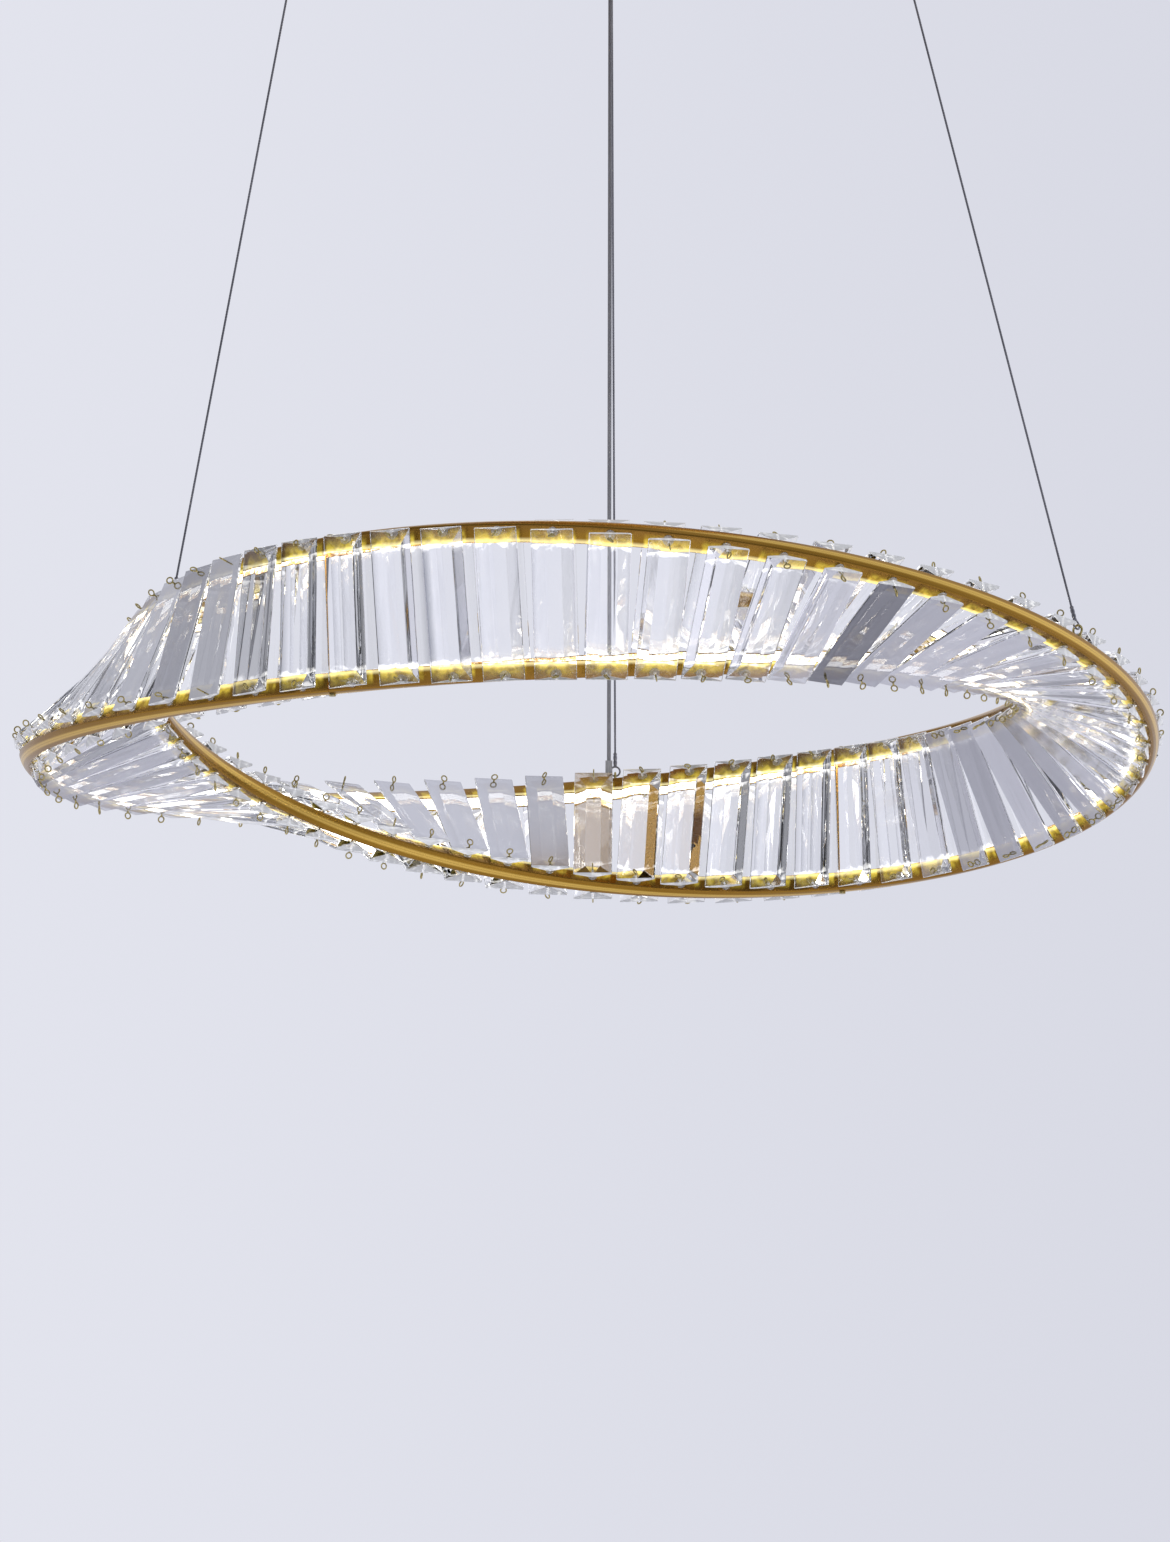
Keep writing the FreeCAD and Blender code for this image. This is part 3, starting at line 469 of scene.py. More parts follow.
def crystalFaceFinish(name, facts):
    # the wide polished face: clear when it is seen square on, with a grey sheen when seen at a slant:
    # a glossy reflection of the room, with a painted grey that is one number per bar and a painted share
    # that follows the slant
    material, nodes, links = crystalFinish(name, facts)
    sheen = nodes.new("ShaderNodeBsdfGlossy")
    sheen.inputs["Roughness"].default_value = facts["sheenRough"]
    links.new(paintedBarShade(nodes, links, "faceSheenGrey", facts["sheenTones"]), sheen.inputs["Color"])
    slant = nodes.new("ShaderNodeLayerWeight")
    slant.inputs["Blend"].default_value = 0.5
    shares = [(position, grey(value)) for position, value in facts["sheenShares"]]
    share = colourRun(nodes, links, slant.outputs["Facing"], shares)
    side = nodes.new("ShaderNodeNewGeometry")
    fromOutside = reckon(nodes, links, "SUBTRACT", 1, side.outputs["Backfacing"])
    mixedOver(nodes, links, sheen, reckon(nodes, links, "MULTIPLY", share, fromOutside))
    return material


def crystalEndFinish(name, facts):
    # the small facets at a bar's ends, ground and not quite clear, with a soft painted glow of the strips'
    # light
    material, nodes, links = crystalFinish(name, facts)
    frost = nodes.new("ShaderNodeBsdfPrincipled")
    frost.inputs["Base Color"].default_value = (*facts["frost"], 1)
    frost.inputs["Roughness"].default_value = facts["frostRough"]
    frost.inputs["Emission Color"].default_value = (*facts["frost"], 1)
    frost.inputs["Emission Strength"].default_value = facts["frostLight"]
    mixedOver(nodes, links, frost, facts["frostShare"])
    return material


def lightFinish(name, facts):
    # lit milky cover: warm white with a slight drift of tone
    material, nodes, links = newMaterial(name)
    shader = nodes["Principled BSDF"]
    shader.inputs["Roughness"].default_value = facts["rough"]
    slow = patternCoords(nodes, links, facts["toneScale"])
    tone = noiseRamp(nodes, links, slow, 1, facts["tones"])[1]
    links.new(tone, shader.inputs["Base Color"])
    links.new(tone, shader.inputs["Emission Color"])
    shader.inputs["Emission Strength"].default_value = facts["strength"]
    return material


def clearPlastic(name, facts):
    # nearly clear plastic, a little milky
    material, nodes, links = newMaterial(name)
    shader = nodes["Principled BSDF"]
    shader.inputs["Transmission Weight"].default_value = facts["clear"]
    shader.inputs["IOR"].default_value = facts["index"]
    slow = patternCoords(nodes, links, facts["toneScale"])
    lighter = tuple(min(1, c * 1.04) for c in facts["colour"])
    tone = noiseRamp(nodes, links, slow, 2, [(0.3, facts["colour"]), (0.7, lighter)])[1]
    links.new(tone, shader.inputs["Base Color"])
    shader.inputs["Roughness"].default_value = facts["rough"]
    return material


# dark tone, light tone, least and most roughness, size of the grain and depth of the bump
metals = {
    "railGold": ((0.46, 0.245, 0.045), (0.53, 0.295, 0.06), 0.20, 0.32, 1500, 0.03),
    "canopyGold": ((0.50, 0.29, 0.07), (0.58, 0.35, 0.10), 0.24, 0.36, 700, 0.05),
    "turnedGold": ((0.50, 0.28, 0.06), (0.60, 0.36, 0.09), 0.16, 0.28, 2400, 0.04),
    "pinMetal": ((0.40, 0.33, 0.13), (0.55, 0.46, 0.20), 0.18, 0.30, 3000, 0.03),
    "wireSteel": ((0.20, 0.20, 0.22), (0.32, 0.32, 0.35), 0.30, 0.44, 3000, 0.04),
    "springSteel": ((0.45, 0.45, 0.47), (0.55, 0.55, 0.57), 0.22, 0.34, 2200, 0.04),
    "zincSteel": ((0.42, 0.43, 0.45), (0.60, 0.61, 0.63), 0.26, 0.46, 420, 0.10),
}
moulded = {
    "copperCore": ((0.36, 0.10, 0.05), (0.46, 0.13, 0.07), 0.34, 0.46, 1400, 0.12),
    "whiteCase": ((0.74, 0.74, 0.73), (0.80, 0.80, 0.79), 0.42, 0.58, 1400, 0.12),
    "blockWhite": ((0.66, 0.66, 0.63), (0.74, 0.74, 0.71), 0.36, 0.50, 1400, 0.12),
    "boardGreen": ((0.015, 0.09, 0.03), (0.03, 0.14, 0.05), 0.28, 0.42, 900, 0.08),
    "stripWhite": ((0.76, 0.75, 0.70), (0.82, 0.81, 0.77), 0.40, 0.52, 1400, 0.12),
    "coilTape": ((0.52, 0.38, 0.05), (0.66, 0.50, 0.09), 0.30, 0.44, 1400, 0.12),
    "canBlack": ((0.012, 0.012, 0.014), (0.03, 0.03, 0.034), 0.24, 0.36, 1400, 0.12),
    "cordSheath": ((0.13, 0.13, 0.145), (0.19, 0.19, 0.205), 0.28, 0.40, 1400, 0.12),
    "glandNylon": ((0.22, 0.22, 0.235), (0.30, 0.30, 0.315), 0.30, 0.42, 1400, 0.12),
}
coverFacts = {"strength": 6.0, "rough": 0.5, "toneScale": 150,
              "tones": [(0.3, (1.0, 0.985, 0.94)), (0.7, (1.0, 0.995, 0.97))]}
washerFacts = {"colour": (0.90, 0.91, 0.93), "rough": 0.12, "clear": 0.8, "index": 1.43, "toneScale": 200}

finishes = {name: metalFinish(name, *numbers) for name, numbers in metals.items()}
finishes.update({name: mouldedFinish(name, *numbers) for name, numbers in moulded.items()})
finishes["cutCrystal"] = crystalCutFinish("cutCrystal", glassFacts)
finishes["litRail"] = litRailFinish("litRail", litRailFacts)
finishes["crystalFace"] = crystalFaceFinish("crystalFace", glassFacts)
finishes["crystalEnd"] = crystalEndFinish("crystalEnd", glassFacts)
finishes["litCover"] = lightFinish("litCover", coverFacts)
finishes["clearWasher"] = clearPlastic("clearWasher", washerFacts)
print(len(finishes), "finishes made")


# Shapes on the band

def bandAxes(angle):
    # away from the ring's axis, round the ring, up the band and out of its face, for angles in degrees
    turn = np.radians(np.asarray(angle, float))
    tilt = turn + math.radians(ringFacts["twist"])
    zero = np.zeros_like(turn)
    away = np.stack([np.sin(turn), -np.cos(turn), zero], -1)
    around = np.stack([np.cos(turn), np.sin(turn), zero], -1)
    zenith = np.array([0.0, 0.0, 1.0])
    bandUp = zenith * np.cos(tilt)[..., None] + away * np.sin(tilt)[..., None]
    bandOut = away * np.cos(tilt)[..., None] - zenith * np.sin(tilt)[..., None]
    return away, around, bandUp, bandOut


def bandMiddle(angle):
    return bandAxes(angle)[0] * ringFacts["radius"] + np.array(ringFacts["centre"])


def crystalAngles(first, count):
    return ringFacts["firstGap"] + (np.arange(first, first + count) + 0.5) * ringFacts["pitch"]


def meshPiece(name, points, faces, finish, smooth=False):
    mesh = bpy.data.meshes.new(name)
    mesh.from_pydata([tuple(p) for p in points.tolist()], [], faces)
    mesh.materials.append(finishes[finish])
    if smooth:
        mesh.shade_smooth()
    piece = bpy.data.objects.new(name, mesh)
    bpy.context.scene.collection.objects.link(piece)
    return piece


def setPlace(piece, places):
    # keeps, on every point, where it lies on its own bar or rail
    attribute = piece.data.attributes.new("place", "FLOAT_VECTOR", "POINT")
    attribute.data.foreach_set("vector", np.ascontiguousarray(places, dtype=np.float32).ravel())


def gridFaces(rows, columns, closeRows=False, closeColumns=False):
    # quads of a grid of rows x columns points, wrapped round where it closes
    i = np.arange(rows if closeRows else rows - 1)[:, None]
    j = np.arange(columns if closeColumns else columns - 1)[None, :]
    nextRow, nextColumn = (i + 1) % rows, (j + 1) % columns
    corners = [i * columns + j, nextRow * columns + j,
               nextRow * columns + nextColumn, i * columns + nextColumn]
    return np.stack([np.broadcast_to(c, (i.size, j.size)).ravel() for c in corners], -1)


def tubeFaces(rows, columns, start=0):
    # rings of points joined to a tube, with a lid at either end
    faces = (gridFaces(rows, columns, closeColumns=True) + start).tolist()
    last = start + (rows - 1) * columns
    return faces + [list(range(start, start + columns)), list(range(last, last + columns))]


def outwards(piece, sharpAngle=None):
    # merges doubles and turns every face outwards; edges past the angle stay sharp on a smooth piece
    work = bmesh.new()
    work.from_mesh(piece.data)
    bmesh.ops.remove_doubles(work, verts=work.verts, dist=1e-7)
    bmesh.ops.recalc_face_normals(work, faces=work.faces)
    work.to_mesh(piece.data)
    work.free()
    if sharpAngle:
        piece.data.set_sharp_from_angle(angle=math.radians(sharpAngle))


railFacts = {"halfWidth": 4.25 * mm, "depth": 10 * mm, "wall": 1.0 * mm, "corner": 1.1 * mm,
             "crown": 0.45 * mm, "lip": 0.3 * mm, "buttGap": 0.1 * mm, "stations": 260,
             "cornerSteps": 5, "crownSteps": 9, "sharpAngle": 40}


def railOutline(facts):
    # closed outline as (along, out): a web crowned by crown x (1 - (out / flat)^2), round corners,
    # and two flanges with eased lips
    top, half, wall = ringFacts["halfHeight"], facts["halfWidth"], facts["wall"]
    corner, lip, low = facts["corner"], facts["lip"], ringFacts["halfHeight"] - facts["depth"]
    side = top - facts["crown"]
    turn = np.linspace(0, math.pi / 2, facts["cornerSteps"])
    cornerOut = half - corner + corner * np.cos(turn)
    cornerAlong = side - corner + corner * np.sin(turn)
    web = np.linspace(half - corner, corner - half, facts["crownSteps"])[1:-1]
    webAlong = side + facts["crown"] * (1 - (web / (half - corner)) ** 2)
    rightSide = np.stack([cornerAlong, cornerOut], -1)
    leftSide = np.stack([cornerAlong[::-1], -cornerOut[::-1]], -1)
    roof = top - wall
    inside = np.array([(low + lip, -half), (low, -half + lip), (low, -half + wall - lip),
                       (low + lip, wall - half), (roof, wall - half), (roof, half - wall),
                       (low + lip, half - wall), (low, half - wall + lip), (low, half - lip),
                       (low + lip, half)])
    return np.concatenate([rightSide, np.stack([webAlong, web], -1), leftSide, inside])


def makeRail(name, node, side, start, end, facts):
    # the outline carried round the ring in the band's own axes
    outline = railOutline(facts)
    angles = np.linspace(start, end, facts["stations"])
    bandUp, bandOut = bandAxes(angles)[2:]
    points = (bandMiddle(angles)[:, None, :] + bandUp[:, None, :] * (side * outline[None, :, :1])
              + bandOut[:, None, :] * outline[None, :, 1:])
    rows, columns = points.shape[:2]
    piece = meshPiece(name, points.reshape(-1, 3), tubeFaces(rows, columns), "litRail", smooth=True)
    places = np.empty((rows, columns, 3))
    places[..., 0] = ((angles - ringFacts["firstGap"]) / ringFacts["pitch"])[:, None]
    places[..., 1] = (outline[:, 0] - (ringFacts["halfHeight"] - facts["depth"])) / facts["depth"]
    places[..., 2] = outline[:, 1] / facts["halfWidth"]
    setPlace(piece, places)
    outwards(piece, facts["sharpAngle"])
    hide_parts(node)
    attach(piece, "ring")


def makeRails(facts):
    trim = math.degrees(facts["buttGap"] / ringFacts["radius"])
    first = ringFacts["firstGap"]
    second = first + ringFacts["strutGaps"] * ringFacts["pitch"]
    spans = {"Front": (first + trim, second - trim), "Back": (second + trim, first + 360 - trim)}
    for side, railName in ((1, "upper"), (-1, "lower")):
        for halfName, (start, end) in spans.items():
            node = railName + "_rail_" + halfName.lower()
            makeRail(railName + "Rail" + halfName, node, side, start, end, facts)


makeRails(railFacts)
print("rails made")


crystalFacts = {"length": 77 * mm, "width": 21 * mm, "thick": 5.0 * mm, "edge": 1.2 * mm, "table": 8.0 * mm,
                "setback": 8.0 * mm, "point": 1.2 * mm, "back": 5.45 * mm, "bevel": 0.22 * mm,
                "holeRadius": 0.65 * mm, "holeSides": 8, "perSector": 21, "endZone": 6 * mm, "paintedShadeSeed": 7}


def crystalTemplate(facts):
    # one bar: x across, y out of the band, z along. A flat face outwards, a thin edge, and a hip roof
    # with a pointed table inwards
    wide, long, high = facts["width"] / 2, facts["length"] / 2, facts["thick"]
    low = high - facts["edge"]
    table, tableEnd, tablePoint = facts["table"] / 2, long - facts["setback"], long - facts["point"]
    points = [(-wide, high, -long), (wide, high, -long), (wide, high, long), (-wide, high, long),
              (-wide, low, -long), (wide, low, -long), (wide, low, long), (-wide, low, long),
              (-table, 0, -tableEnd), (0, 0, -tablePoint), (table, 0, -tableEnd),
              (table, 0, tableEnd), (0, 0, tablePoint), (-table, 0, tableEnd)]
    faces = [(0, 3, 2, 1), (0, 1, 5, 4), (2, 3, 7, 6), (3, 0, 4, 7), (1, 2, 6, 5), (8, 13, 7, 4),
             (10, 5, 6, 11), (4, 9, 8), (4, 5, 9), (5, 10, 9), (7, 13, 12), (7, 12, 6), (6, 12, 11),
             (8, 9, 10, 11, 12, 13)]
    bar = meshPiece("crystalTemplate", np.array(points), faces, "cutCrystal")
    outwards(bar)
    bevel = bar.modifiers.new("edges", "BEVEL")
    bevel.width = facts["bevel"]
    bevel.segments = 1
    bevel.limit_method = "NONE"
    drills = []
    for side in (1, -1):
        turn = np.linspace(0, 2 * math.pi, facts["holeSides"], endpoint=False)
        circle = np.stack([np.cos(turn) * facts["holeRadius"], np.zeros_like(turn),
                           np.sin(turn) * facts["holeRadius"] + side * ringFacts["pinHeight"]], -1)
        wall = np.concatenate([circle - [0, facts["thick"], 0], circle + [0, 2 * facts["thick"], 0]])
        drill = meshPiece("drill", wall, tubeFaces(2, facts["holeSides"]), "cutCrystal")
        outwards(drill)
        cut = bar.modifiers.new("hole", "BOOLEAN")
        cut.operation = "DIFFERENCE"
        cut.object = drill
        drills.append(drill)
    graph = bpy.context.evaluated_depsgraph_get()
    finished = bpy.data.meshes.new_from_object(bar.evaluated_get(graph))
    corners = np.empty(len(finished.vertices) * 3)
    finished.vertices.foreach_get("co", corners)
    faces = [list(polygon.vertices) for polygon in finished.polygons]
    middles = np.array([polygon.center for polygon in finished.polygons])
    normals = np.array([polygon.normal for polygon in finished.polygons])
    # 0 is the cut side, 1 the wide flat face, 2 the ground facets at the ends
    finishIndex = np.zeros(len(faces), int)
    finishIndex[(np.abs(middles[:, 2]) > long - facts["endZone"]) & (np.abs(normals[:, 2]) > 0.2)] = 2
    finishIndex[(normals[:, 1] > 0.99) & (middles[:, 1] > high * 0.99)] = 1
    for spare in drills + [bar]:
        bpy.data.objects.remove(spare)
    return corners.reshape(-1, 3), faces, finishIndex


def repeatOnBand(points, faces, angles, offset, face):
    # copies of one shape: its x goes round the ring, y out of the face and z up the band
    around, bandUp, bandOut = bandAxes(angles)[1:]
    copies = (bandMiddle(angles)[:, None, :] + (around * face)[:, None, :] * points[..., :1]
              + (bandOut * face)[:, None, :] * (points[..., 1:2] + offset)
              + bandUp[:, None, :] * points[..., 2:])
    count = points.shape[-2]
    allFaces = [[corner + i * count for corner in polygon] for i in range(len(angles)) for polygon in faces]
    return copies.reshape(-1, 3), allFaces


def setPaintedShades(piece, points, tones, facts):
    # painted shade on the slopes is 1 on the table and falls evenly to the bar's own number at each of its
    # two edges;
    # the painted grey of the face's sheen is one number for the whole bar
    half = facts["table"] / 2
    share = np.clip((np.abs(points[:, 0]) - half) / (facts["width"] / 2 - half), 0, 1)
    edgeShade = np.where(points[:, 0] < 0, tones[:, :1], tones[:, 1:2])
    paintedSlopeShade = 1 - share * (1 - edgeShade)
    faceSheenGrey = np.broadcast_to(tones[:, 2:], paintedSlopeShade.shape)
    for name, values in (("paintedSlopeShade", paintedSlopeShade), ("faceSheenGrey", faceSheenGrey)):
        piece.data.attributes.new(name, "FLOAT", "POINT").data.foreach_set("value", values.ravel())


def makeCrystals(facts):
    points, faces, finishIndex = crystalTemplate(facts)
    # each bar draws its own numbers of painted shade and sheen grey
    dice = np.random.default_rng(facts["paintedShadeSeed"])
    print("crystal template has", len(points), "points and", len(faces), "faces")
    for face, faceName in ((1, "outer"), (-1, "inner")):
        for sector, sectorName in enumerate(("right", "back", "left")):
            angles = crystalAngles(sector * facts["perSector"], facts["perSector"])
            allPoints, allFaces = repeatOnBand(points[None], faces, angles, facts["back"], face)
            name = "crystals" + faceName.title() + sectorName.title()
            piece = meshPiece(name, allPoints, allFaces, "cutCrystal")
            piece.data.materials.append(finishes["crystalFace"])
            piece.data.materials.append(finishes["crystalEnd"])
            piece.data.polygons.foreach_set("material_index", np.tile(finishIndex, len(angles)))
            setPlace(piece, np.tile(points / mm, (len(angles), 1)))
            setPaintedShades(piece, points, dice.random((len(angles), 3)), facts)
            outwards(piece)
            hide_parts("crystals_" + faceName + "_" + sectorName)
            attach(piece, "ring")


makeCrystals(crystalFacts)
print("crystals made")


pinFacts = {"shankRadius": 0.5 * mm, "inner": 2.6 * mm, "eyeMiddle": 13.05 * mm, "eyeRing": 1.6 * mm,
            "eyeWire": 0.39 * mm, "eyeSteps": 14, "wireSteps": 6, "shankSides": 6, "turnStep": 137.5}


def pinTemplate(facts, turn):
    # a shank along y with a wire eye, which is a torus, at its end, turned about the shank
    around = np.linspace(0, 2 * math.pi, facts["eyeSteps"], endpoint=False)[:, None]
    across = np.linspace(0, 2 * math.pi, facts["wireSteps"], endpoint=False)[None, :]
    reach = facts["eyeRing"] + facts["eyeWire"] * np.cos(across)
    lift = np.broadcast_to(facts["eyeWire"] * np.sin(across), (facts["eyeSteps"], facts["wireSteps"]))
    eye = np.stack([reach * np.sin(around), facts["eyeMiddle"] - reach * np.cos(around), lift], -1)
    sides = np.linspace(0, 2 * math.pi, facts["shankSides"], endpoint=False)
    circle = np.stack([np.cos(sides) * facts["shankRadius"], np.zeros_like(sides),
                       np.sin(sides) * facts["shankRadius"]], -1)
    top = facts["eyeMiddle"] - facts["eyeRing"]
    shank = np.concatenate([circle + [0, facts["inner"], 0], circle + [0, top, 0]])
    points = np.concatenate([eye.reshape(-1, 3), shank])
    cosTurn, sinTurn = math.cos(turn), math.sin(turn)
    turned = points.copy()
    turned[:, 0] = points[:, 0] * cosTurn - points[:, 2] * sinTurn
    turned[:, 2] = points[:, 0] * sinTurn + points[:, 2] * cosTurn
    return turned


def pinFaces(facts):
    eye = gridFaces(facts["eyeSteps"], facts["wireSteps"], True, True).tolist()
    return eye + tubeFaces(2, facts["shankSides"], facts["eyeSteps"] * facts["wireSteps"])


def makeEyePins(facts):
    count = ringFacts["crystals"]
    faces = pinFaces(facts)
    for side, railName in ((1, "upper"), (-1, "lower")):
        for face, faceName in ((1, "outer"), (-1, "inner")):
            turns = np.radians(np.arange(count) * facts["turnStep"])
            shapes = np.stack([pinTemplate(facts, turn) for turn in turns])
            shapes[..., 2] += side * ringFacts["pinHeight"]
            allPoints, allFaces = repeatOnBand(shapes, faces, crystalAngles(0, count), 0, face)
            name = "eyePins" + railName.title() + faceName.title()
            piece = meshPiece(name, allPoints, allFaces, "pinMetal", smooth=True)
            outwards(piece)
            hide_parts("eye_pins_" + railName + "_" + faceName)
            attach(piece, "ring")


makeEyePins(pinFacts)
print("eye pins made")


# Wires and cord, straight because the ring's weight pulls them tight

hangFacts = {"gapIndices": {"left": -6, "right": 15, "far": 36}, "gripperCircle": 168 * mm,
             "gripperTurn": 1.2, "pivotHeight": -54 * mm, "canopyFloor": -36 * mm,
             "eyeStandOff": 4.5 * mm, "link": 3.35 * mm, "farOut": -2.0 * mm, "farSide": 2.4 * mm,
             "loopRing": 2.6 * mm, "loopWire": 0.5 * mm, "loopSteps": 40, "loopSides": 12,
             "ferrule": 8 * mm, "ferruleOverlap": 0.4 * mm, "ferruleRadius": 1.1 * mm,
             "ferruleRows": 49, "ferruleSides": 20, "endShare": 0.72, "endSteepness": 14,
             "dents": 3, "dentDepth": 0.22 * mm, "dentPower": 6, "sharpAngle": 50}


def bandPoint(angle, along, out, side=0.0):
    # a point by its distances up the band, out of its face and round the ring
    around, bandUp, bandOut = bandAxes(angle)[1:]
    return bandMiddle(angle) + bandUp * along + bandOut * out + around * side


def unit(vector):
    return vector / np.linalg.norm(vector)


def hangLine(name, facts):
    # from the eye bolt on the ring to the gripper in the canopy
    angle = ringFacts["firstGap"] + facts["gapIndices"][name] * ringFacts["pitch"]
    bandUp, bandOut = bandAxes(angle)[2:]
    if name == "right":
        seat, normal = bandPoint(angle, ringFacts["pinHeight"], -railFacts["halfWidth"]), -bandOut
    elif name == "far":
        seat = bandPoint(angle, -ringFacts["halfHeight"], facts["farOut"], facts["farSide"])
        normal = -bandUp
    else:
        seat, normal = bandPoint(angle, ringFacts["halfHeight"], 0), bandUp
    eye = seat + normal * facts["eyeStandOff"]
    away = bandAxes(angle + facts["gripperTurn"])[0]
    pivot = away * facts["gripperCircle"] + np.array([0, 0, facts["pivotHeight"]])
    along = unit(pivot - eye)
    loop = eye + along * facts["link"]
    return {"loop": loop, "pivot": pivot, "along": along, "aside": unit(np.cross(normal, along))}


def ringSurface(middle, axisOne, axisTwo, ring, wire, steps, sides):
    # a torus: a small circle carried round a large one that lies in the plane of two axes
    around = np.linspace(0, 2 * math.pi, steps, endpoint=False)[:, None, None]
    across = np.linspace(0, 2 * math.pi, sides, endpoint=False)[None, :, None]
    outward = axisOne * np.cos(around) + axisTwo * np.sin(around)
    points = (middle + outward * (ring + wire * np.cos(across))
              + np.cross(axisOne, axisTwo) * wire * np.sin(across))
    return points, gridFaces(steps, sides, True, True).tolist()


def turnedSurface(start, along, places, radii, sides):
    # a profile of radii turned about a straight line, closed at both ends
    aside = unit(np.cross(along, [0.0, 1.0, 0.3]))
    across = np.cross(along, aside)
    turn = np.linspace(0, 2 * math.pi, sides, endpoint=False)[None, :, None]
    circle = aside * np.cos(turn) + across * np.sin(turn)
    points = start + along * places[:, None, None] + circle * radii[:, None, None]
    return points, tubeFaces(len(places), sides)


def joined(parts):
    # several surfaces in one list of points and faces
    points, faces, count = [], [], 0
    for partPoints, partFaces in parts:
        flat = partPoints.reshape(-1, 3)
        faces += [[corner + count for corner in polygon] for polygon in partFaces]
        points.append(flat)
        count += len(flat)
    return np.concatenate(points), faces


def makeWireLoop(name, line, facts):
    # the wire's eye, closed by a ferrule whose radius dips by a power of a sine at each dent and
    # draws in at its ends
    loop = ringSurface(line["loop"], line["along"], line["aside"], facts["loopRing"], facts["loopWire"],
                       facts["loopSteps"], facts["loopSides"])
    start = line["loop"] + line["along"] * (facts["loopRing"] - facts["ferruleOverlap"])
    share = np.linspace(0, 1, facts["ferruleRows"])
    dent = np.sin(share * math.pi * facts["dents"]) ** facts["dentPower"] * facts["dentDepth"]
    ends = np.minimum(1, np.minimum(share, 1 - share) * facts["endSteepness"]) ** 0.5
    radii = (facts["ferruleRadius"] - dent) * (facts["endShare"] + (1 - facts["endShare"]) * ends)
    ferrule = turnedSurface(start, line["along"], share * facts["ferrule"], radii, facts["ferruleSides"])
    points, faces = joined([loop, ferrule])
    piece = meshPiece("wireLoop" + name.title(), points, faces, "wireSteel", smooth=True)
    outwards(piece, facts["sharpAngle"])
    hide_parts("wire_loop_" + name)
    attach(piece, "wire_" + name)


wireFacts = {"diameter": 1.2 * mm, "core": 0.38 * mm, "strand": 0.22 * mm, "layLength": 9 * mm,
             "rowsPerLay": 12, "strands": 6, "stepsPerStrand": 4}


def makeWire(name, line, facts):
    # six strands laid round a core: a lobed outline that turns about the line at a steady rate
    past = hangFacts["loopRing"] - hangFacts["ferruleOverlap"] + hangFacts["ferrule"]
    start = line["loop"] + line["along"] * past
    length = float(np.linalg.norm(line["pivot"] - start))
    rows = int(length / facts["layLength"] * facts["rowsPerLay"]) + 1
    columns = facts["strands"] * facts["stepsPerStrand"]
    place = np.linspace(0, length, rows)[:, None]
    angle = np.linspace(0, 2 * math.pi, columns, endpoint=False)[None, :]
    reach = facts["core"] + facts["strand"] * np.abs(np.cos(angle * facts["strands"] / 2))
    turned = angle + 2 * math.pi * place / facts["layLength"]
    across = np.cross(line["along"], line["aside"])
    points = (start + line["along"] * place[..., None] + line["aside"] * (reach * np.cos(turned))[..., None]
              + across * (reach * np.sin(turned))[..., None])
    piece = meshPiece("suspensionWire" + name.title(), points.reshape(-1, 3), tubeFaces(rows, columns),
                      "wireSteel", smooth=True)
    outwards(piece)
    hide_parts("suspension_wire_" + name)
    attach(piece, "wire_" + name)
    print("wire", name, "is", round(length, 4), "m long")


cordFacts = {"radius": 1.1 * mm, "footOut": 2.2 * mm, "footSide": 5.6 * mm, "inward": 12.2 * mm,
             "topSide": 0.4 * mm, "boot": 10 * mm, "entry": 5 * mm, "seat": 0.1 * mm,
             "glandEntry": 4.5 * mm, "rows": 90, "sides": 24, "sharpAngle": 60}


def makePowerCord(facts):
    # a smooth round sheath, straight from the ring's boot up to the canopy's gland
    angle = ringFacts["firstGap"] + hangFacts["gapIndices"]["far"] * ringFacts["pitch"]
    foot = bandPoint(angle, -ringFacts["halfHeight"], facts["footOut"], facts["footSide"])
    away, around = bandAxes(angle + hangFacts["gripperTurn"])[:2]
    top = (away * (hangFacts["gripperCircle"] - facts["inward"]) + around * facts["topSide"]
           + np.array([0, 0, hangFacts["canopyFloor"]]))
    along = unit(top - foot)
    start = foot - bandAxes(angle)[2] * facts["seat"] + along * (facts["boot"] - facts["entry"])
    end = top - along * facts["glandEntry"]
    length = float(np.linalg.norm(end - start))
    places = np.linspace(0, length, facts["rows"])
    radii = np.full(facts["rows"], facts["radius"])
    points, faces = turnedSurface(start, along, places, radii, facts["sides"])
    piece = meshPiece("powerCord", points.reshape(-1, 3), faces, "cordSheath", smooth=True)
    outwards(piece, facts["sharpAngle"])
    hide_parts("power_cord")
    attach(piece, "cord")
    print("power cord is", round(length, 4), "m long")


springFacts = {"middle": 2.6 * mm, "wire": 0.29 * mm, "turns": 5, "travel": 2 * mm, "turnSteps": 22,
               "sides": 8}


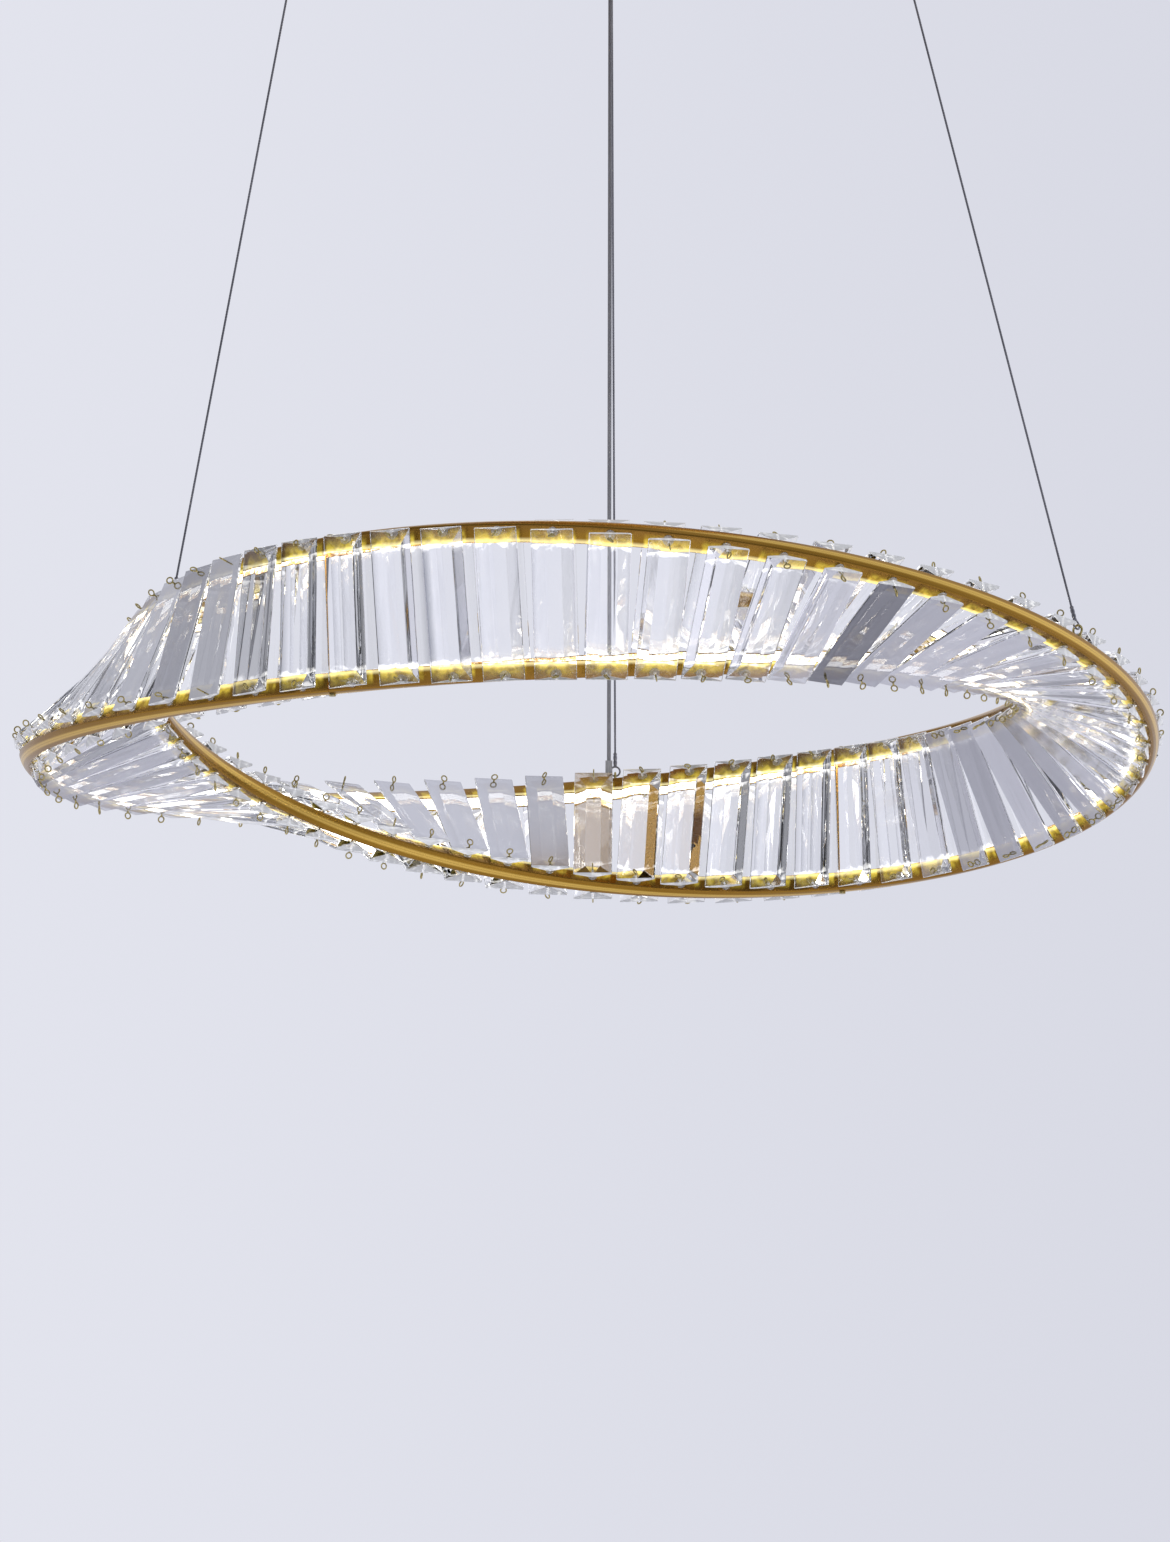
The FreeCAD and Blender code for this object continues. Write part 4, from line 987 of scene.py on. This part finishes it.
def makeReleaseSpring(name, facts):
    # a helix of round wire that climbs at a steady rate through the height of the spring's solid
    low, high = (np.array(corner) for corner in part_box("release_spring_" + name))
    middle, tall = (low + high) / 2, high[2] - low[2]
    rows = facts["turns"] * facts["turnSteps"] + 1
    turn = np.linspace(0, 2 * math.pi * facts["turns"], rows)[:, None]
    section = np.linspace(0, 2 * math.pi, facts["sides"], endpoint=False)[None, :]
    climb = np.linspace(low[2] + facts["wire"], high[2] - facts["wire"], rows)[:, None]
    reach = facts["middle"] + facts["wire"] * np.cos(section)
    points = np.stack([middle[0] + reach * np.cos(turn), middle[1] + reach * np.sin(turn),
                       climb + facts["wire"] * np.sin(section)], -1)
    piece = meshPiece("releaseSpring" + name.title(), points.reshape(-1, 3),
                      tubeFaces(rows, facts["sides"]), "springSteel", smooth=True)
    outwards(piece)
    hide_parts("release_spring_" + name)
    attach(piece, "canopy")
    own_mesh(piece)


for wireName in hangFacts["gapIndices"]:
    makeReleaseSpring(wireName, springFacts)
    hang = hangLine(wireName, hangFacts)
    makeWireLoop(wireName, hang, hangFacts)
    makeWire(wireName, hang, wireFacts)
makePowerCord(cordFacts)
print("wires and cord made")


# Finishes of the solids that are shown as they are

solidFinishes = {
    "led_strip": "stripWhite", "led_diffuser": "litCover", "crystal_spacers": "clearWasher",
    "struts": "railGold", "strut_screws": "pinMetal", "feed_lead": "copperCore", "eye_bolts": "pinMetal",
    "wire_tails": "wireSteel", "gripper": "turnedGold",
    "cord_gland": "glandNylon", "canopy_cover": "canopyGold", "canopy_side_screws": "turnedGold",
    "ceiling_bracket": "zincSteel", "driver_case": "whiteCase", "driver_lid": "whiteCase",
    "driver_screws": "zincSteel", "driver_board": "boardGreen", "driver_transformer": "coilTape",
    "driver_capacitors": "canBlack", "terminal_block": "blockWhite", "mains_leads": "copperCore",
    "output_leads": "copperCore", "earth_screw": "turnedGold",
}


def finishSolids(choices):
    # a solid takes the finish of the longest start that its name has
    for nodeName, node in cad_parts.items():
        starts = [start for start in choices if nodeName.startswith(start)]
        if starts:
            finish = finishes[choices[max(starts, key=len)]]
            node.data.materials.clear()
            node.data.materials.append(finish)


finishSolids(solidFinishes)
print("solids finished")
